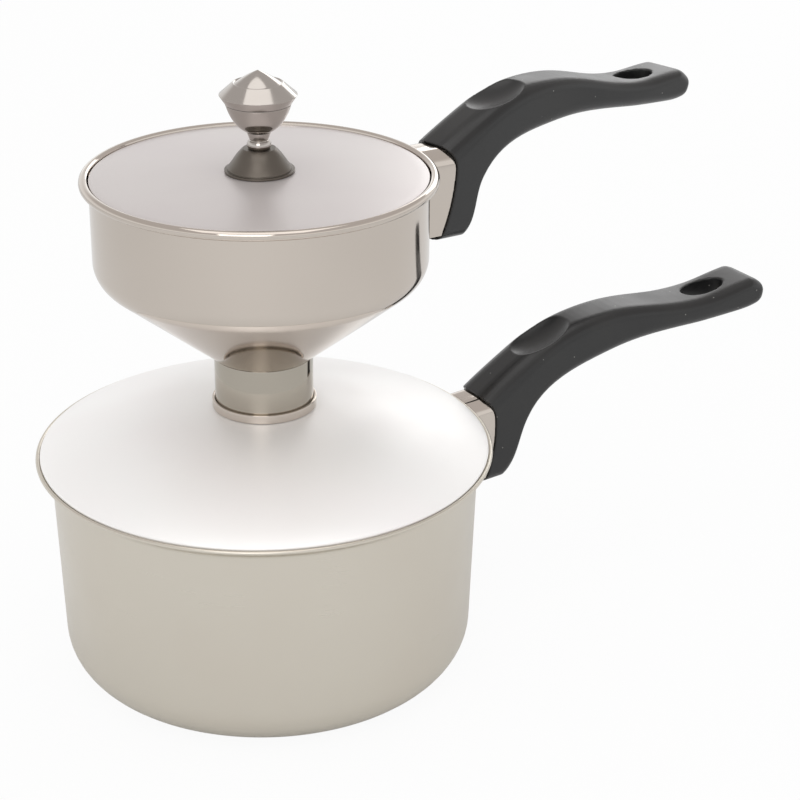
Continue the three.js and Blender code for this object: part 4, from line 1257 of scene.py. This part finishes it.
def make_handles():
    pan_wall = pan_side(SEAT_GAP, pan_flare_foot - PAN_BEAD)
    pan_rim = pan_bead_radius + PAN_BEAD + SEAT_GAP
    hem_top = hem_height + STEAM_LID_HEM + SEAT_GAP
    make_handle_set(
        vessel="pan",
        body="pan",
        wall_radius=pan_rim_radius,
        reach=PAN_HANDLE_REACH,
        height=PAN_HEIGHT - PAN_HANDLE_DROP,
        tilt=PAN_HANDLE_TILT,
        foot_reach=PAN_FOOT_REACH,
        turn=0,
        space=vessel_space(pan_wall, -SEAT_GAP, pan_rim, pan_bead_height - PAN_BEAD, hem_top),
    )
    room = CUP_BEAD + SEAT_GAP
    cup_wall = cup_side(SEAT_GAP, cup_bead_height - room)
    make_handle_set(
        vessel="steamer",
        body="steamer",
        wall_radius=CUP_RADIUS,
        reach=STEAMER_HANDLE_REACH,
        height=cup_bead_height + CUP_BEAD - STEAMER_HANDLE_DROP,
        tilt=STEAMER_HANDLE_TILT,
        foot_reach=STEAMER_FOOT_REACH,
        turn=STEAMER_TURN,
        space=vessel_space(
            cup_wall, funnel_foot, cup_bead_radius + room, cup_bead_height - room, cup_bead_height + room
        ),
    )


# Camera, floor and light

def make_camera():
    data = bpy.data.cameras.new("camera")
    data.lens = CAMERA_LENS
    data.sensor_width = SENSOR
    camera = bpy.data.objects.new("camera", data)
    camera.location = (
        -CAMERA_DISTANCE * math.sin(CAMERA_AZIMUTH),
        -CAMERA_DISTANCE * math.cos(CAMERA_AZIMUTH),
        CAMERA_HEIGHT,
    )
    heading = CAMERA_AZIMUTH + CAMERA_YAW
    forward = Vector((math.sin(heading), math.cos(heading), -math.tan(CAMERA_PITCH)))
    look = forward.to_track_quat("-Z", "Y").to_matrix() @ Matrix.Rotation(CAMERA_ROLL, 3, "Z")
    camera.rotation_euler = look.to_euler()
    bpy.context.scene.collection.objects.link(camera)
    bpy.context.scene.camera = camera


def seen_directly(tree):
    """One for rays from the camera and from polished or clear surfaces; also gives the ray's kinds."""
    kinds = add_node(tree, "ShaderNodeLightPath").outputs
    mirrored = math_node(tree, "MAXIMUM", kinds["Is Glossy Ray"], kinds["Is Transmission Ray"])
    return math_node(tree, "MAXIMUM", kinds["Is Camera Ray"], mirrored), kinds


def make_floor():
    """A white floor that glows for the camera, so that it has no edge."""
    bm = bmesh.new()
    bmesh.ops.create_grid(bm, x_segments=1, y_segments=1, size=FLOOR_SIZE / 2)
    floor = mesh_object("floor", bm)
    material, tree, shader = new_material("white floor")
    feed(tree, shader, Base_Color=FLOOR_COLOUR, Roughness=FLOOR_ROUGHNESS)
    glow = add_node(tree, "ShaderNodeEmission")
    seen, kinds = seen_directly(tree)
    mirrored = math_node(tree, "MULTIPLY", seen, FLOOR_MIRROR_GLOW)
    direct = math_node(tree, "MULTIPLY", kinds["Is Camera Ray"], FLOOR_GLOW)
    share = math_node(tree, "MAXIMUM", mirrored, direct)
    mix_shaders(tree, share, shader, glow, "Material Output")
    floor.data.materials.append(material)


def make_world():
    """White to the camera; polished metal sees white low down and a warm grey above it."""
    world = bpy.data.worlds.new("studio")
    bpy.context.scene.world = world
    world.use_nodes = True
    tree = world.node_tree
    ambient = feed(tree, tree.nodes["Background"], Color=WHITE, Strength=AMBIENT)
    backdrop = add_node(tree, "ShaderNodeBackground")
    seen, kinds = seen_directly(tree)
    direction = separate(tree, add_node(tree, "ShaderNodeTexCoord").outputs["Generated"])
    rise = map_range(tree, direction["Z"], *BACKDROP_FADE, interpolation="SMOOTHSTEP")
    dim = math_node(tree, "MULTIPLY", rise, kinds["Is Glossy Ray"])
    feed(tree, backdrop, Color=mix_colour(tree, dim, WHITE, BACKDROP_GREY))
    mix_shaders(tree, seen, ambient, backdrop, "World Output")


def make_softbox(name, location, width, depth, power):
    data = bpy.data.lights.new(name, "AREA")
    data.shape = "RECTANGLE"
    data.size = width
    data.size_y = depth
    data.energy = power
    lamp = bpy.data.objects.new(name, data)
    lamp.location = location
    lamp.rotation_euler = (LIGHT_TARGET - Vector(location)).to_track_quat("-Z", "Y").to_euler()
    bpy.context.scene.collection.objects.link(lamp)


def make_lights():
    make_softbox("overhead softbox", location=(-0.08, -0.15, 1.2), width=1.0, depth=0.9, power=2.5)
    make_softbox("front softbox", location=(-0.7, -0.9, 0.9), width=0.7, depth=0.7, power=3.0)
    make_softbox("right softbox", location=(1.15, 0.95, 0.7), width=0.8, depth=0.48, power=1.9)
    make_softbox("back softbox", location=(0.7, 1.33, 0.36), width=1.0, depth=0.16, power=0.2)


make_camera()
make_pan()
make_steam_lid()
make_collar()
make_cup()
make_neck()
make_grid()
make_loop()
make_top_lid()
make_knob()
make_handles()
make_floor()
make_world()
make_lights()

bpy.context.scene.view_settings.view_transform = "Standard"
